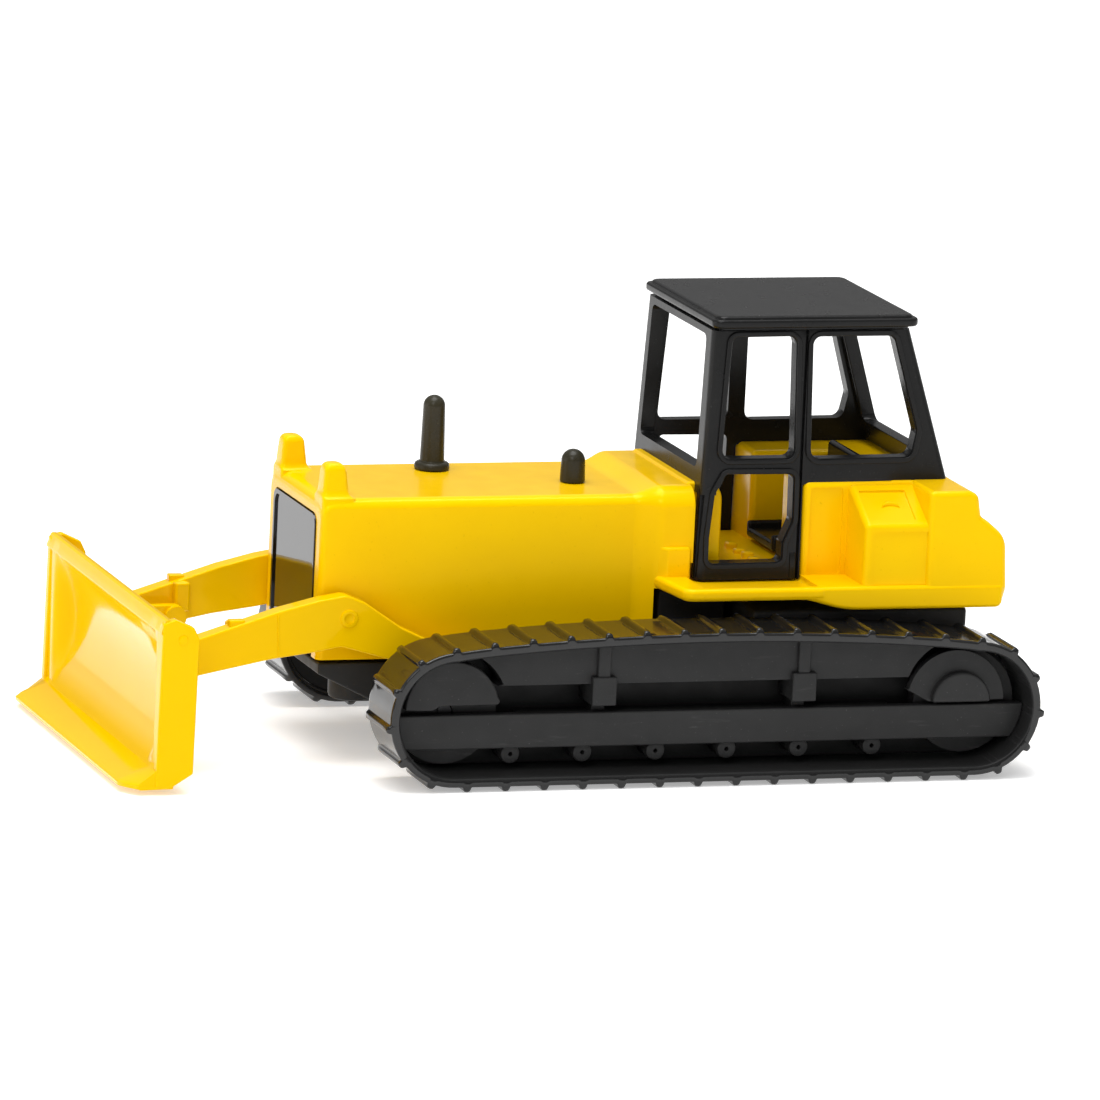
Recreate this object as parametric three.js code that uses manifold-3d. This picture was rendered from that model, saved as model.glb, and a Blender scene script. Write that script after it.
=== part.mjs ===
// Toy bulldozer, about 81 x 41 x 38 mm: die-cast body, plastic cab, tracks on hidden wheels,
// and a dozer blade on two push arms that lift about a shaft across the chassis.
// Millimetres, +Z up. The blade faces -Y, the machine's left side is +X, and the origin is on
// the ground under the middle of the bounding box.

import * as THREE from "three";
import { mergeVertices } from "three/addons/utils/BufferGeometryUtils.js";
import Module from "manifold-3d";

const wasm = await Module();
wasm.setup();

// ---------------------------------------------------------------- driving dimensions

const GAP = 0.3; // clearance between touching pieces
const EPS = 0.2; // how far joined solids reach into each other

const TRACK = {
  inner: 13.6, // inner face, from the centre plane
  outer: 20.5, // outer face
  frontY: -12.0, // centre of the front end arc
  rearY: 34.25, // centre of the rear end arc
  axleZ: 6.2, // height of both arc centres
  radius: 5.78, // end arcs, to the pads
  crown: 1.22, // how far the top run arches above the end arcs
  thickness: 0.78,
  grousers: 39,
  firstGrouser: 1.15, // distance of the first grouser behind the front arc's centre
  grouserHeight: 0.42,
  grouserWidth: 0.62,
};

const FRAME = {
  wallIn: 14.0, // upright wall inside the loop
  wallOut: 15.0,
  skinIn: 17.2, // thin outer skin in front of the wheels
  skinOut: 18.2,
  coverOut: 18.8,
  plate: [8.7, 10.9], // upper plate, low and high
  bar: [3.3, 6.2], // lower bar, low and high
  solidY: [-5.6, 27.8], // stretch where plate and bar reach the wall
  postsY: [1.4, 19.2],
  post: 1.15,
  clamp: 2.15,
  clampTop: 9.25,
  rollers: 6,
  firstRoller: -6.4,
  rollerPitch: 6.45,
  rollerZ: 2.65,
  rollerR: 0.8,
};

const WHEEL = { radius: 4.5, inner: 15.4, outer: 16.8 };
const AXLE = { radius: 0.6, half: 16.7, running: 0.1 };
const COVER = { idlerR: 4.3, domeR: 4.4, bossR: 2.75, domeY: 32.9 };

const HOOD = { half: 8.0, front: -20.8, rear: 9.0, bottom: 8.9, top: 22.7, edge: 0.9, wall: 1.3 };
const GRILLE = { half: 6.4, bottom: 9.3, top: 21.2, depth: 1.0, proud: 0.1 };
const HORN = { x: 6.35, width: 2.1, length: 2.3, y: -19.4, top: 25.6, tip: 0.85, foot: 0.45, root: 1.5 };
const COWL = { half: 9.3, front: 9.0, rear: 11.9, top: 23.55, bottom: 14.8 };
const STEP = { half: 9.8, front: 8.6, top: 18.9, chamfer: 1.0 };

const FENDER = { half: 15.4, front: 8.6, bottom: 14.8, top: 15.9, edge: 0.35, corner: 1.2 };
const REAR = {
  front: 21.7,
  tankFront: 25.5,
  blockFront: 31.0,
  topRear: 35.0,
  ledge: 35.7,
  shelfRear: 37.8,
  rear: 38.35,
  ramp: 3.2, // length over which the fender's underside drops to the tank's
  corner: 0.6, // chamfers of the rear profile
  tuck: 0.3,
  tuckHeight: 3.0,
  panelHalf: 9.9,
  slantHalf: 10.3,
  tankHalf: 14.9,
  blockHalf: 15.15,
  slantTop: 23.7,
  slantLow: 21.1,
  shelf: 20.9,
  top: 24.0,
  bottom: 13.85,
  wall: 1.5,
  lowRoof: 2.5, // casting thickness over the hollow beside the tank
  roomHalf: 11.6,
  roomRear: 36.4,
};
const NICHE = { half: 4.0, rear: 29.1 }; // recess in the tank block's front for the seat
const FLOOR = { half: 8.2, top: 16.3 }; // cab floor between the doors
const DASH = { half: 7.6, rear: 14.9, top: 23.7, round: 2.0 }; // firewall in front of the driver

const CAB = {
  half: 9.15, // outer half width under the roof
  flare: 0.0045, // widening per mm below the roof
  wall: 1.3,
  door: [12.3, 21.4], // front and rear edge of the door
  doorBottom: 16.2,
  sill: 24.3,
  top: 37.0,
  frontTop: 12.9, // front edge under the roof
  rearTop: 30.6,
  rearSill: 34.45,
  post: 1.5,
};
const WINDOW = {
  beltLow: 24.6, // rail between the door's two windows
  beltTop: 26.4,
  lowBottom: 17.3,
  bPost: [19.9, 21.7],
  pillar: 1.7,
  screenSill: 24.8,
  head: 0.7, // top rail above every window
  doorPost: 1.6,
  rearPost: 1.7,
  footPost: 2.8, // width behind the rear side window at its foot
  notch: 1.4, // height of the cut corner there
};
// The door's lower window, measured in from the door's edges and up from the window's foot.
const LOWER = { front: 1.0, rear: 1.4, corner: 1.3, heel: 0.5, step: 2.1, stepLow: 1.5, stepHigh: 3.0 };
const ROOF = { half: 9.85, front: 12.8, rear: 31.2, bottom: 37.3, top: 38.3, edge: 0.4, corner: 0.9 };
const SEAT = { half: 3.6, front: 21.0, rear: 28.8, pan: 17.6, back: 0.9, top: 25.0 };

const EXHAUST = { x: -4.6, y: -7.4, radius: 1.05, top: 29.2, foot: 1.55, footHeight: 0.65 };
const INTAKE = { x: 1.9, y: 3.2, radius: 1.12, top: 25.6 };

const STEM = { radius: 0.6, bottom: 21.0 }; // plug under both stacks

const CHASSIS = {
  half: 8.0,
  front: -20.5,
  rear: 38.0,
  bottom: 4.9,
  top: 8.6,
  gearbox: { front: 9.4, rear: 15.4, top: 14.4 },
  deck: { half: 13.1, front: 16.3, rear: 35.6, top: 13.5 }, // carries the body casting's rear half
  nose: { top: 7.7, low: 5.6, rear: -16.4, heel: -14.9 }, // the underside rises towards the front
  foot: { radius: 2.0, low: 3.9 }, // round boss under the front screw
  beamHalf: 13.7,
  beamZ: [6.2, 8.4],
  beamsY: [[3.0, 7.0], [24.0, 28.0]],
};
const SCREW = {
  frontY: -15.2,
  rearY: 19.7,
  head: 1.3,
  headHeight: 0.8,
  seat: 1.1, // depth of the head's seat in the chassis
  shank: 0.55,
  top: 13.2,
  boss: 1.7,
  rearBoss: 10.6, // foot of the casting's rear boss
};

const ARM = {
  inner: 8.55,
  outer: 10.35,
  pivotY: -7.0,
  pivotZ: 7.0,
  eye: 1.6,
  ring: { radius: 0.8, y: -18.7, z: 12.95, proud: 0.15 },
  front: { y: -33.7, low: 7.9, high: 10.85 },
  waist: { y: -24.8, low: 9.6, high: 13.7 },
  knee: { y: -19.4, low: 10.5, high: 14.95 },
  throat: { y: -15.2, low: 9.35, high: 12.75 },
  tab: { front: -29.1, rear: -27.8, top: 12.85 },
};
const PIVOT = { radius: 0.7, half: 11.1, head: 1.2, headLength: 0.45, running: 0.15 };
const BLADE = {
  half: 18.8,
  plate: 1.0,
  front: -37.6,
  rear: -34.1,
  top: 14.9,
  bottom: 0.45,
  lip: -40.45,
  lipRound: 0.45,
  brow: 14.4, // upper and lower ends of the hollow face
  fold: 2.55,
  hollow: 2.8,
  back: 0.5, // how far the board's back lies in front of the side plates' rear edges
  backLow: 5.0,
  backHigh: 10.0,
  pinHead: 0.45,
  pinY: -35.6,
  pinZ: 13.1,
};
// The side plate's outline, measured in from its bounding corners.
const CHEEK = { toe: 1.6, heel: 1.4, shoulder: 1.8, nape: 0.6, brow: 1.0, chin: 0.4 };
const LUG = { inner: 6.9, outer: 8.25, rear: -28.0, low: 8.5, high: 11.0, pinY: -29.2, pinZ: 9.8 };
const PIN = { radius: 0.55, start: 6.2, end: 9.8, head: 0.95, headLength: 0.4, running: 0.12 };

// ---------------------------------------------------------------- colours

const finish = {
  castYellow: new THREE.MeshStandardMaterial({ color: 0xf7c400, roughness: 0.28, metalness: 0.0 }),
  bladeYellow: new THREE.MeshStandardMaterial({ color: 0xffdf00, roughness: 0.35, metalness: 0.0 }),
  cabBlack: new THREE.MeshStandardMaterial({ color: 0x26262a, roughness: 0.55, metalness: 0.0 }),
  glossBlack: new THREE.MeshStandardMaterial({ color: 0x101012, roughness: 0.12, metalness: 0.0 }),
  frameBlack: new THREE.MeshStandardMaterial({ color: 0x2b2b2e, roughness: 0.5, metalness: 0.0 }),
  beltBlack: new THREE.MeshStandardMaterial({ color: 0x1c1c1e, roughness: 0.3, metalness: 0.0 }),
  stackGrey: new THREE.MeshStandardMaterial({ color: 0x3a382e, roughness: 0.4, metalness: 0.0 }),
  steel: new THREE.MeshStandardMaterial({ color: 0xb5b7ba, roughness: 0.3, metalness: 1.0 }),
};

// ---------------------------------------------------------------- solids

// A closed three.js geometry as a solid that can be joined and cut.
function solid(geometry) {
  const bare = geometry.index ? geometry.toNonIndexed() : geometry.clone();
  bare.deleteAttribute("normal");
  bare.deleteAttribute("uv");
  const welded = mergeVertices(bare, 1e-4);
  const mesh = new wasm.Mesh({
    numProp: 3,
    vertProperties: new Float32Array(welded.attributes.position.array),
    triVerts: new Uint32Array(welded.index.array),
  });
  return new wasm.Manifold(mesh);
}

function join(...solids) {
  return solids.reduce((whole, piece) => whole.add(piece));
}

function cut(base, ...tools) {
  return tools.reduce((rest, tool) => rest.subtract(tool), base);
}

// A named mesh from a solid, placed with its own origin at a point of the machine's frame.
function part(name, body, material, origin = [0, 0, 0]) {
  const result = body.getMesh();
  const geometry = new THREE.BufferGeometry();
  geometry.setAttribute("position", new THREE.BufferAttribute(result.vertProperties, 3));
  geometry.setIndex(new THREE.BufferAttribute(result.triVerts, 1));
  geometry.translate(-origin[0], -origin[1], -origin[2]);
  const mesh = new THREE.Mesh(geometry, material);
  mesh.name = name;
  mesh.position.set(...origin);
  return mesh;
}

function outline(points) {
  return new THREE.Shape(points.map(([u, v]) => new THREE.Vector2(u, v)));
}

// A rectangle with one radius on all corners.
function roundedRect(u0, u1, v0, v1, radius) {
  const shape = new THREE.Shape();
  shape.moveTo(u0 + radius, v0);
  shape.lineTo(u1 - radius, v0);
  shape.absarc(u1 - radius, v0 + radius, radius, -Math.PI / 2, 0);
  shape.lineTo(u1, v1 - radius);
  shape.absarc(u1 - radius, v1 - radius, radius, 0, Math.PI / 2);
  shape.lineTo(u0 + radius, v1);
  shape.absarc(u0 + radius, v1 - radius, radius, Math.PI / 2, Math.PI);
  shape.lineTo(u0, v0 + radius);
  shape.absarc(u0 + radius, v0 + radius, radius, Math.PI, Math.PI * 1.5);
  return shape;
}

// A side profile, drawn in Y and Z, carried from x0 to x1.
function alongX(shape, x0, x1, segments = 4) {
  const low = Math.min(x0, x1);
  const depth = Math.abs(x1 - x0);
  const geometry = new THREE.ExtrudeGeometry(shape, { depth, bevelEnabled: false, curveSegments: segments });
  const turn = new THREE.Matrix4().makeBasis(
    new THREE.Vector3(0, 1, 0),
    new THREE.Vector3(0, 0, 1),
    new THREE.Vector3(1, 0, 0),
  );
  geometry.applyMatrix4(turn);
  geometry.translate(low, 0, 0);
  return solid(geometry);
}

// A front profile, drawn in X and Z, carried from y0 to y1.
function alongY(shape, y0, y1, segments = 4) {
  const geometry = new THREE.ExtrudeGeometry(shape, {
    depth: Math.abs(y1 - y0),
    bevelEnabled: false,
    curveSegments: segments,
  });
  geometry.rotateX(Math.PI / 2);
  geometry.translate(0, Math.max(y0, y1), 0);
  return solid(geometry);
}

function block(x0, x1, y0, y1, z0, z1) {
  const size = [Math.abs(x1 - x0), Math.abs(y1 - y0), Math.abs(z1 - z0)];
  const geometry = new THREE.BoxGeometry(...size);
  geometry.translate((x0 + x1) / 2, (y0 + y1) / 2, (z0 + z1) / 2);
  return solid(geometry);
}

// A round bar along X, centred on (y, z).
function barX(radius, x0, x1, y, z, segments = 20) {
  const geometry = new THREE.CylinderGeometry(radius, radius, Math.abs(x1 - x0), segments);
  geometry.rotateZ(Math.PI / 2);
  geometry.translate((x0 + x1) / 2, y, z);
  return solid(geometry);
}

// A turned piece on a vertical axis: profile pairs are (radius, height).
function turned(profile, x, y, segments = 20) {
  const geometry = new THREE.LatheGeometry(profile.map(([r, z]) => new THREE.Vector2(r, z)), segments);
  geometry.rotateX(Math.PI / 2);
  geometry.translate(x, y, 0);
  return solid(geometry);
}

// ---------------------------------------------------------------- tracks

const runLength = TRACK.rearY - TRACK.frontY;

// Height of the belt's top run above the end arcs, at a place along it from 0 to 1.
function crownAt(t) {
  return TRACK.crown * Math.sin(Math.PI * Math.min(Math.max(t, 0), 1)) ** 0.75;
}

// The place at distance s along the closed belt of a given end radius, with its outward normal.
// It starts at the front of the bottom run and goes rearwards.
function beltPlace(radius, s) {
  const arc = Math.PI * radius;
  if (s < runLength) {
    return { y: TRACK.frontY + s, z: TRACK.axleZ - radius, ny: 0, nz: -1 };
  }
  if (s < runLength + arc) {
    return arcPlace(TRACK.rearY, radius, -Math.PI / 2 + (s - runLength) / radius);
  }
  if (s < 2 * runLength + arc) {
    const t = (s - runLength - arc) / runLength;
    return { y: TRACK.rearY - t * runLength, z: TRACK.axleZ + radius + crownAt(t), ny: 0, nz: 1 };
  }
  return arcPlace(TRACK.frontY, radius, Math.PI / 2 + (s - 2 * runLength - arc) / radius);
}

function arcPlace(centreY, radius, angle) {
  const ny = Math.cos(angle);
  const nz = Math.sin(angle);
  return { y: centreY + radius * ny, z: TRACK.axleZ + radius * nz, ny, nz };
}

function beltLength(radius) {
  return 2 * runLength + 2 * Math.PI * radius;
}

// Outline inside the belt, a fixed distance in from the pads' face.
function loopOutline(inset, steps) {
  const radius = TRACK.radius - inset;
  const points = [];
  for (let i = 0; i < steps; i += 1) {
    const { y, z } = beltPlace(radius, (beltLength(radius) * i) / steps);
    points.push([y, z]);
  }
  return outline(points);
}

function trackBelt(side) {
  const pitch = beltLength(TRACK.radius) / TRACK.grousers;
  const half = TRACK.grouserWidth / 2;
  const ridge = [[-half, 0], [-half / 2, 1], [half / 2, 1], [half, 0]];
  const points = [];
  for (let i = 0; i < TRACK.grousers; i += 1) {
    for (const [offset, rise] of ridge) {
      const place = beltPlace(TRACK.radius, TRACK.firstGrouser + i * pitch + offset);
      const lift = rise * TRACK.grouserHeight;
      points.push([place.y + lift * place.ny, place.z + lift * place.nz]);
    }
  }
  const shape = outline(points);
  shape.holes.push(loopOutline(TRACK.thickness, 2 * TRACK.grousers));
  const belt = alongX(shape, side.x(TRACK.inner), side.x(TRACK.outer));
  return part(`${side.name}_track_belt`, belt, finish.beltBlack);
}

const loopInset = TRACK.thickness + GAP;

function trackFrame(side) {
  const wall = alongX(loopOutline(loopInset, 48), side.x(FRAME.wallIn), side.x(FRAME.wallOut));
  const room = alongX(loopOutline(loopInset, 48), side.x(FRAME.wallIn), side.x(FRAME.coverOut));
  const inner = side.x(FRAME.wallOut - EPS);
  const [barLow, barHigh] = FRAME.bar;
  const [solidFront, solidRear] = FRAME.solidY;
  const pieces = [
    wall,
    block(inner, side.x(FRAME.skinOut), solidFront, solidRear, ...FRAME.plate),
    block(inner, side.x(FRAME.skinOut), solidFront, solidRear, barLow, barHigh),
    block(
      side.x(FRAME.skinIn), side.x(FRAME.skinOut),
      TRACK.frontY - TRACK.radius, TRACK.rearY + TRACK.radius, barLow, barHigh,
    ),
  ];
  for (const y of FRAME.postsY) {
    const high = TRACK.axleZ + TRACK.radius + TRACK.crown;
    const outer = side.x(FRAME.coverOut);
    pieces.push(block(inner, outer, y - FRAME.post / 2, y + FRAME.post / 2, barHigh, high));
    pieces.push(block(inner, outer, y - FRAME.clamp / 2, y + FRAME.clamp / 2, barHigh - EPS, FRAME.clampTop));
  }
  for (let i = 0; i < FRAME.rollers; i += 1) {
    const y = FRAME.firstRoller + i * FRAME.rollerPitch;
    pieces.push(barX(FRAME.rollerR, inner, side.x(FRAME.skinOut - EPS), y, FRAME.rollerZ, 12));
  }
  const holes = [TRACK.frontY, TRACK.rearY].map((y) =>
    barX(AXLE.radius + GAP, side.x(FRAME.wallIn - 1), side.x(FRAME.wallOut + EPS), y, TRACK.axleZ, 12),
  );
  const frame = cut(join(...pieces).intersect(room), ...holes);
  return part(`${side.name}_track_frame`, frame, finish.frameBlack);
}

const coverBase = FRAME.bar[1] + GAP;

// The half disc over the front wheel, above the lower bar, with a tongue towards the plate.
function idlerCover(side) {
  const disc = barX(COVER.idlerR, side.x(FRAME.skinIn), side.x(FRAME.coverOut), TRACK.frontY, coverBase, 32);
  const above = block(
    side.x(FRAME.skinIn - 1), side.x(FRAME.coverOut + 1),
    TRACK.frontY - TRACK.radius, TRACK.frontY + TRACK.radius, coverBase, TRACK.axleZ + TRACK.radius,
  );
  const tongue = block(
    side.x(FRAME.skinIn), side.x(FRAME.skinOut),
    TRACK.frontY + 2, FRAME.solidY[0] - GAP, FRAME.plate[0] + EPS, FRAME.plate[1] - 2 * EPS,
  );
  const room = alongX(loopOutline(loopInset, 48), side.x(FRAME.wallIn), side.x(FRAME.coverOut + 1));
  const cover = join(disc.intersect(above), tongue).intersect(room);
  return part(`${side.name}_idler_cover`, cover, finish.frameBlack);
}

// The dome over the rear wheel, with a smaller raised disc and a shoulder towards the plate.
function sprocketCover(side) {
  const dome = barX(COVER.domeR, side.x(FRAME.skinIn), side.x(FRAME.skinOut), COVER.domeY, coverBase, 32);
  const boss = barX(COVER.bossR, side.x(FRAME.skinIn), side.x(FRAME.coverOut), COVER.domeY, coverBase, 28);
  const shoulder = block(
    side.x(FRAME.skinIn), side.x(FRAME.skinOut),
    FRAME.solidY[1] + GAP, COVER.domeY, coverBase + EPS, FRAME.plate[1],
  );
  const above = block(
    side.x(FRAME.skinIn - 1), side.x(FRAME.coverOut + 1),
    FRAME.solidY[1], TRACK.rearY + TRACK.radius, coverBase, TRACK.axleZ + 2 * TRACK.radius,
  );
  const room = alongX(loopOutline(loopInset, 48), side.x(FRAME.wallIn), side.x(FRAME.coverOut + 1));
  const cover = join(dome, boss, shoulder).intersect(above).intersect(room);
  return part(`${side.name}_sprocket_cover`, cover, finish.frameBlack);
}

function wheel(side, place, y) {
  const disc = barX(WHEEL.radius, side.x(WHEEL.inner), side.x(WHEEL.outer), y, TRACK.axleZ, 32);
  const bore = barX(AXLE.radius + AXLE.running, side.x(0), side.x(WHEEL.outer + 1), y, TRACK.axleZ);
  return part(`${side.name}_${place}_wheel`, disc.subtract(bore), finish.frameBlack, [0, y, TRACK.axleZ]);
}

function axle(place, y) {
  const bar = barX(AXLE.radius, -AXLE.half, AXLE.half, y, TRACK.axleZ);
  return part(`${place}_axle`, bar, finish.steel, [0, y, TRACK.axleZ]);
}

// ---------------------------------------------------------------- body casting

function hoodShell() {
  const { half, front, rear, bottom, top, edge, wall } = HOOD;
  const section = new THREE.Shape();
  section.moveTo(-half, bottom);
  section.lineTo(half, bottom);
  section.lineTo(half, top - edge);
  section.absarc(half - edge, top - edge, edge, 0, Math.PI / 2);
  section.lineTo(-half + edge, top);
  section.absarc(-half + edge, top - edge, edge, Math.PI / 2, Math.PI);
  section.lineTo(-half, bottom);
  const pocket = block(-GRILLE.half, GRILLE.half, front - 1, front + GRILLE.depth, bottom - 1, GRILLE.top);
  const nose = noseEdge(front, top, edge, half);
  return cut(alongY(section, front, rear + EPS), pocket, nose);
}

// What is taken off the bonnet's front upper edge to round it.
function noseEdge(front, top, edge, half) {
  const shape = new THREE.Shape();
  shape.moveTo(front - 1, top - edge);
  shape.lineTo(front, top - edge);
  shape.absarc(front + edge, top - edge, edge, Math.PI, Math.PI / 2, true);
  shape.lineTo(front + edge, top + 1);
  shape.lineTo(front - 1, top + 1);
  return alongX(shape, -half - 1, half + 1);
}

function horn(sign) {
  const { x, width, length, y, top, tip, foot, root } = HORN;
  const low = HOOD.top - root;
  const front = y - length / 2;
  const rear = y + length / 2;
  const shape = new THREE.Shape();
  shape.moveTo(front, low);
  shape.lineTo(rear + foot, low);
  shape.lineTo(rear, top - tip);
  shape.absarc(rear - tip, top - tip, tip, 0, Math.PI / 2);
  shape.absarc(front + tip, top - tip, tip, Math.PI / 2, Math.PI);
  shape.lineTo(front, low);
  return alongX(shape, sign * x - width / 2, sign * x + width / 2);
}

function cowl() {
  const wall = block(-COWL.half, COWL.half, COWL.front, COWL.rear, COWL.bottom, COWL.top);
  const half = STEP.half;
  const plan = outline([
    [-half, COWL.rear],
    [-half, STEP.front + STEP.chamfer],
    [-half + STEP.chamfer, STEP.front],
    [half - STEP.chamfer, STEP.front],
    [half, STEP.front + STEP.chamfer],
    [half, COWL.rear],
  ]);
  return join(wall, upright(plan, FENDER.bottom, STEP.top));
}

// The firewall behind the cowl, rounded over its rear upper edge.
function dash() {
  const { half, rear, top, round } = DASH;
  const shape = new THREE.Shape();
  shape.moveTo(COWL.rear - EPS, FENDER.bottom);
  shape.lineTo(rear, FENDER.bottom);
  shape.lineTo(rear, top - round);
  shape.absarc(rear - round, top - round, round, 0, Math.PI / 2);
  shape.lineTo(COWL.rear - EPS, top);
  return alongX(shape, -half, half);
}

// A plan, drawn in X and Y, carried from z0 to z1.
function upright(shape, z0, z1) {
  const geometry = new THREE.ExtrudeGeometry(shape, {
    depth: z1 - z0,
    bevelEnabled: false,
    curveSegments: 4,
  });
  geometry.translate(0, 0, z0);
  return solid(geometry);
}

function fenders() {
  const plan = roundedRect(-FENDER.half, FENDER.half, FENDER.front, REAR.tankFront + 1, FENDER.corner);
  return upright(plan, FENDER.bottom, FENDER.top);
}

// The tank block behind the cab, from its side profile and its front section.
function tankBlock() {
  const profile = outline([
    [REAR.tankFront - REAR.ramp, FENDER.bottom],
    [REAR.tankFront, REAR.bottom],
    [REAR.rear - REAR.corner, REAR.bottom],
    [REAR.rear, REAR.bottom + REAR.corner],
    [REAR.rear - REAR.tuck, REAR.shelf - REAR.tuckHeight],
    [REAR.shelfRear, REAR.shelf - 2 * REAR.corner],
    [REAR.ledge + REAR.corner, REAR.shelf],
    [REAR.ledge, REAR.shelf + REAR.corner],
    [REAR.ledge - REAR.tuck, REAR.top - 2 * REAR.corner],
    [REAR.topRear, REAR.top],
    [REAR.front, REAR.top],
    [REAR.front, FENDER.bottom],
  ]);
  const whole = alongX(profile, -FENDER.half, FENDER.half);
  const beyond = 30;
  const sides = [-1, 1].flatMap((sign) => {
    const panel = block(sign * REAR.panelHalf, sign * beyond, 0, REAR.tankFront, FENDER.top, beyond);
    const slantSection = outline([
      [sign * REAR.slantHalf, REAR.top + EPS],
      [sign * REAR.slantHalf, REAR.slantTop],
      [sign * REAR.tankHalf, REAR.slantLow],
      [sign * beyond, REAR.slantLow],
      [sign * beyond, REAR.top + EPS],
    ]);
    const slant = alongY(slantSection, 0, REAR.blockFront);
    const face = block(sign * REAR.tankHalf, sign * beyond, 0, REAR.blockFront, FENDER.top, beyond);
    const rearFace = block(
      sign * REAR.blockHalf, sign * beyond, REAR.blockFront, beyond * 2, FENDER.top, beyond,
    );
    return [panel, slant, face, rearFace];
  });
  const niche = block(-NICHE.half, NICHE.half, REAR.front - 1, NICHE.rear, FLOOR.top, REAR.top + 1);
  return cut(whole, ...sides, niche);
}

// The two rooms under the tank, open downwards: a wide low one and a narrow high one.
function tankRooms() {
  const front = NICHE.rear + REAR.wall;
  const high = REAR.panelHalf - REAR.wall;
  const below = REAR.bottom - 1;
  return [
    block(-REAR.roomHalf, REAR.roomHalf, front, REAR.roomRear, below, REAR.slantLow - REAR.lowRoof),
    block(-high, high, front, REAR.topRear - REAR.wall, below, REAR.top - REAR.wall),
  ];
}

function bonnetRoom() {
  const { half, front, rear, bottom, top, wall } = HOOD;
  return block(-half + wall, half - wall, front + GRILLE.depth + wall, rear - wall, bottom - 1, top - wall);
}

// A plain upright cylinder from z0 to z1.
function pillar(radius, y, z0, z1, segments = 20, x = 0) {
  return turned([[0, z0], [radius, z0], [radius, z1], [0, z1]], x, y, segments);
}

function bodyCasting() {
  const floor = block(-FLOOR.half, FLOOR.half, COWL.rear - EPS, REAR.front + EPS, FENDER.bottom, FLOOR.top);
  const outside = join(hoodShell(), horn(-1), horn(1), cowl(), dash(), fenders(), floor, tankBlock());
  const hollow = cut(outside, bonnetRoom(), ...tankRooms());
  const withBosses = join(
    hollow,
    pillar(SCREW.boss, SCREW.frontY, HOOD.bottom, HOOD.top - EPS),
    pillar(SCREW.boss, SCREW.rearY, SCREW.rearBoss, FLOOR.top - EPS),
  );
  const bores = [SCREW.frontY, SCREW.rearY].map((y) =>
    pillar(SCREW.shank + EPS, y, 0, SCREW.top + GAP, 12),
  );
  const sockets = [EXHAUST, INTAKE].map(({ x, y }) =>
    pillar(STEM.radius + EPS, y, HOOD.bottom, HOOD.top + 1, 16, x),
  );
  return part("body_casting", cut(withBosses, ...bores, ...sockets), finish.castYellow);
}

function grilleInsert() {
  const half = GRILLE.half - GAP;
  const back = HOOD.front + GRILLE.depth - GAP;
  const plate = block(-half, half, HOOD.front - GRILLE.proud, back, GRILLE.bottom, GRILLE.top - GAP);
  return part("grille_insert", plate, finish.glossBlack);
}

// ---------------------------------------------------------------- stacks

function exhaustStack() {
  const { x, y, radius, top, foot, footHeight } = EXHAUST;
  const base = HOOD.top + 0.1;
  const profile = [
    [0, STEM.bottom], [STEM.radius, STEM.bottom], [STEM.radius, base], [foot, base],
    [foot, base + footHeight * 0.7], [radius + 0.1, base + footHeight],
    [radius - 0.05, top - radius], [radius * 0.72, top - radius * 0.3], [0, top],
  ];
  return part("exhaust_stack", turned(profile, x, y), finish.stackGrey);
}

function intakeDome() {
  const { x, y, radius, top } = INTAKE;
  const base = HOOD.top + 0.1;
  const profile = [
    [0, STEM.bottom], [STEM.radius, STEM.bottom], [STEM.radius, base], [radius, base],
    [radius - 0.05, top - radius * 1.1], [radius * 0.75, top - radius * 0.35],
    [radius * 0.4, top - radius * 0.07], [0, top],
  ];
  return part("intake_precleaner", turned(profile, x, y), finish.stackGrey);
}

// ---------------------------------------------------------------- cab

// Widens the cab towards its foot, as its side walls lean inwards.
function flared(mesh) {
  const position = mesh.geometry.attributes.position;
  for (let i = 0; i < position.count; i += 1) {
    const drop = Math.max(CAB.top - position.getZ(i), 0);
    position.setX(i, position.getX(i) * (1 + CAB.flare * drop));
  }
  return mesh;
}

// Y of the cab's front or rear face at a height: both lean outwards towards the foot.
function frontAt(z) {
  return THREE.MathUtils.mapLinear(z, CAB.top, CAB.sill, CAB.frontTop, CAB.door[0]);
}

function rearAt(z) {
  return THREE.MathUtils.mapLinear(z, CAB.top, CAB.sill, CAB.rearTop, CAB.rearSill);
}

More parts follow.
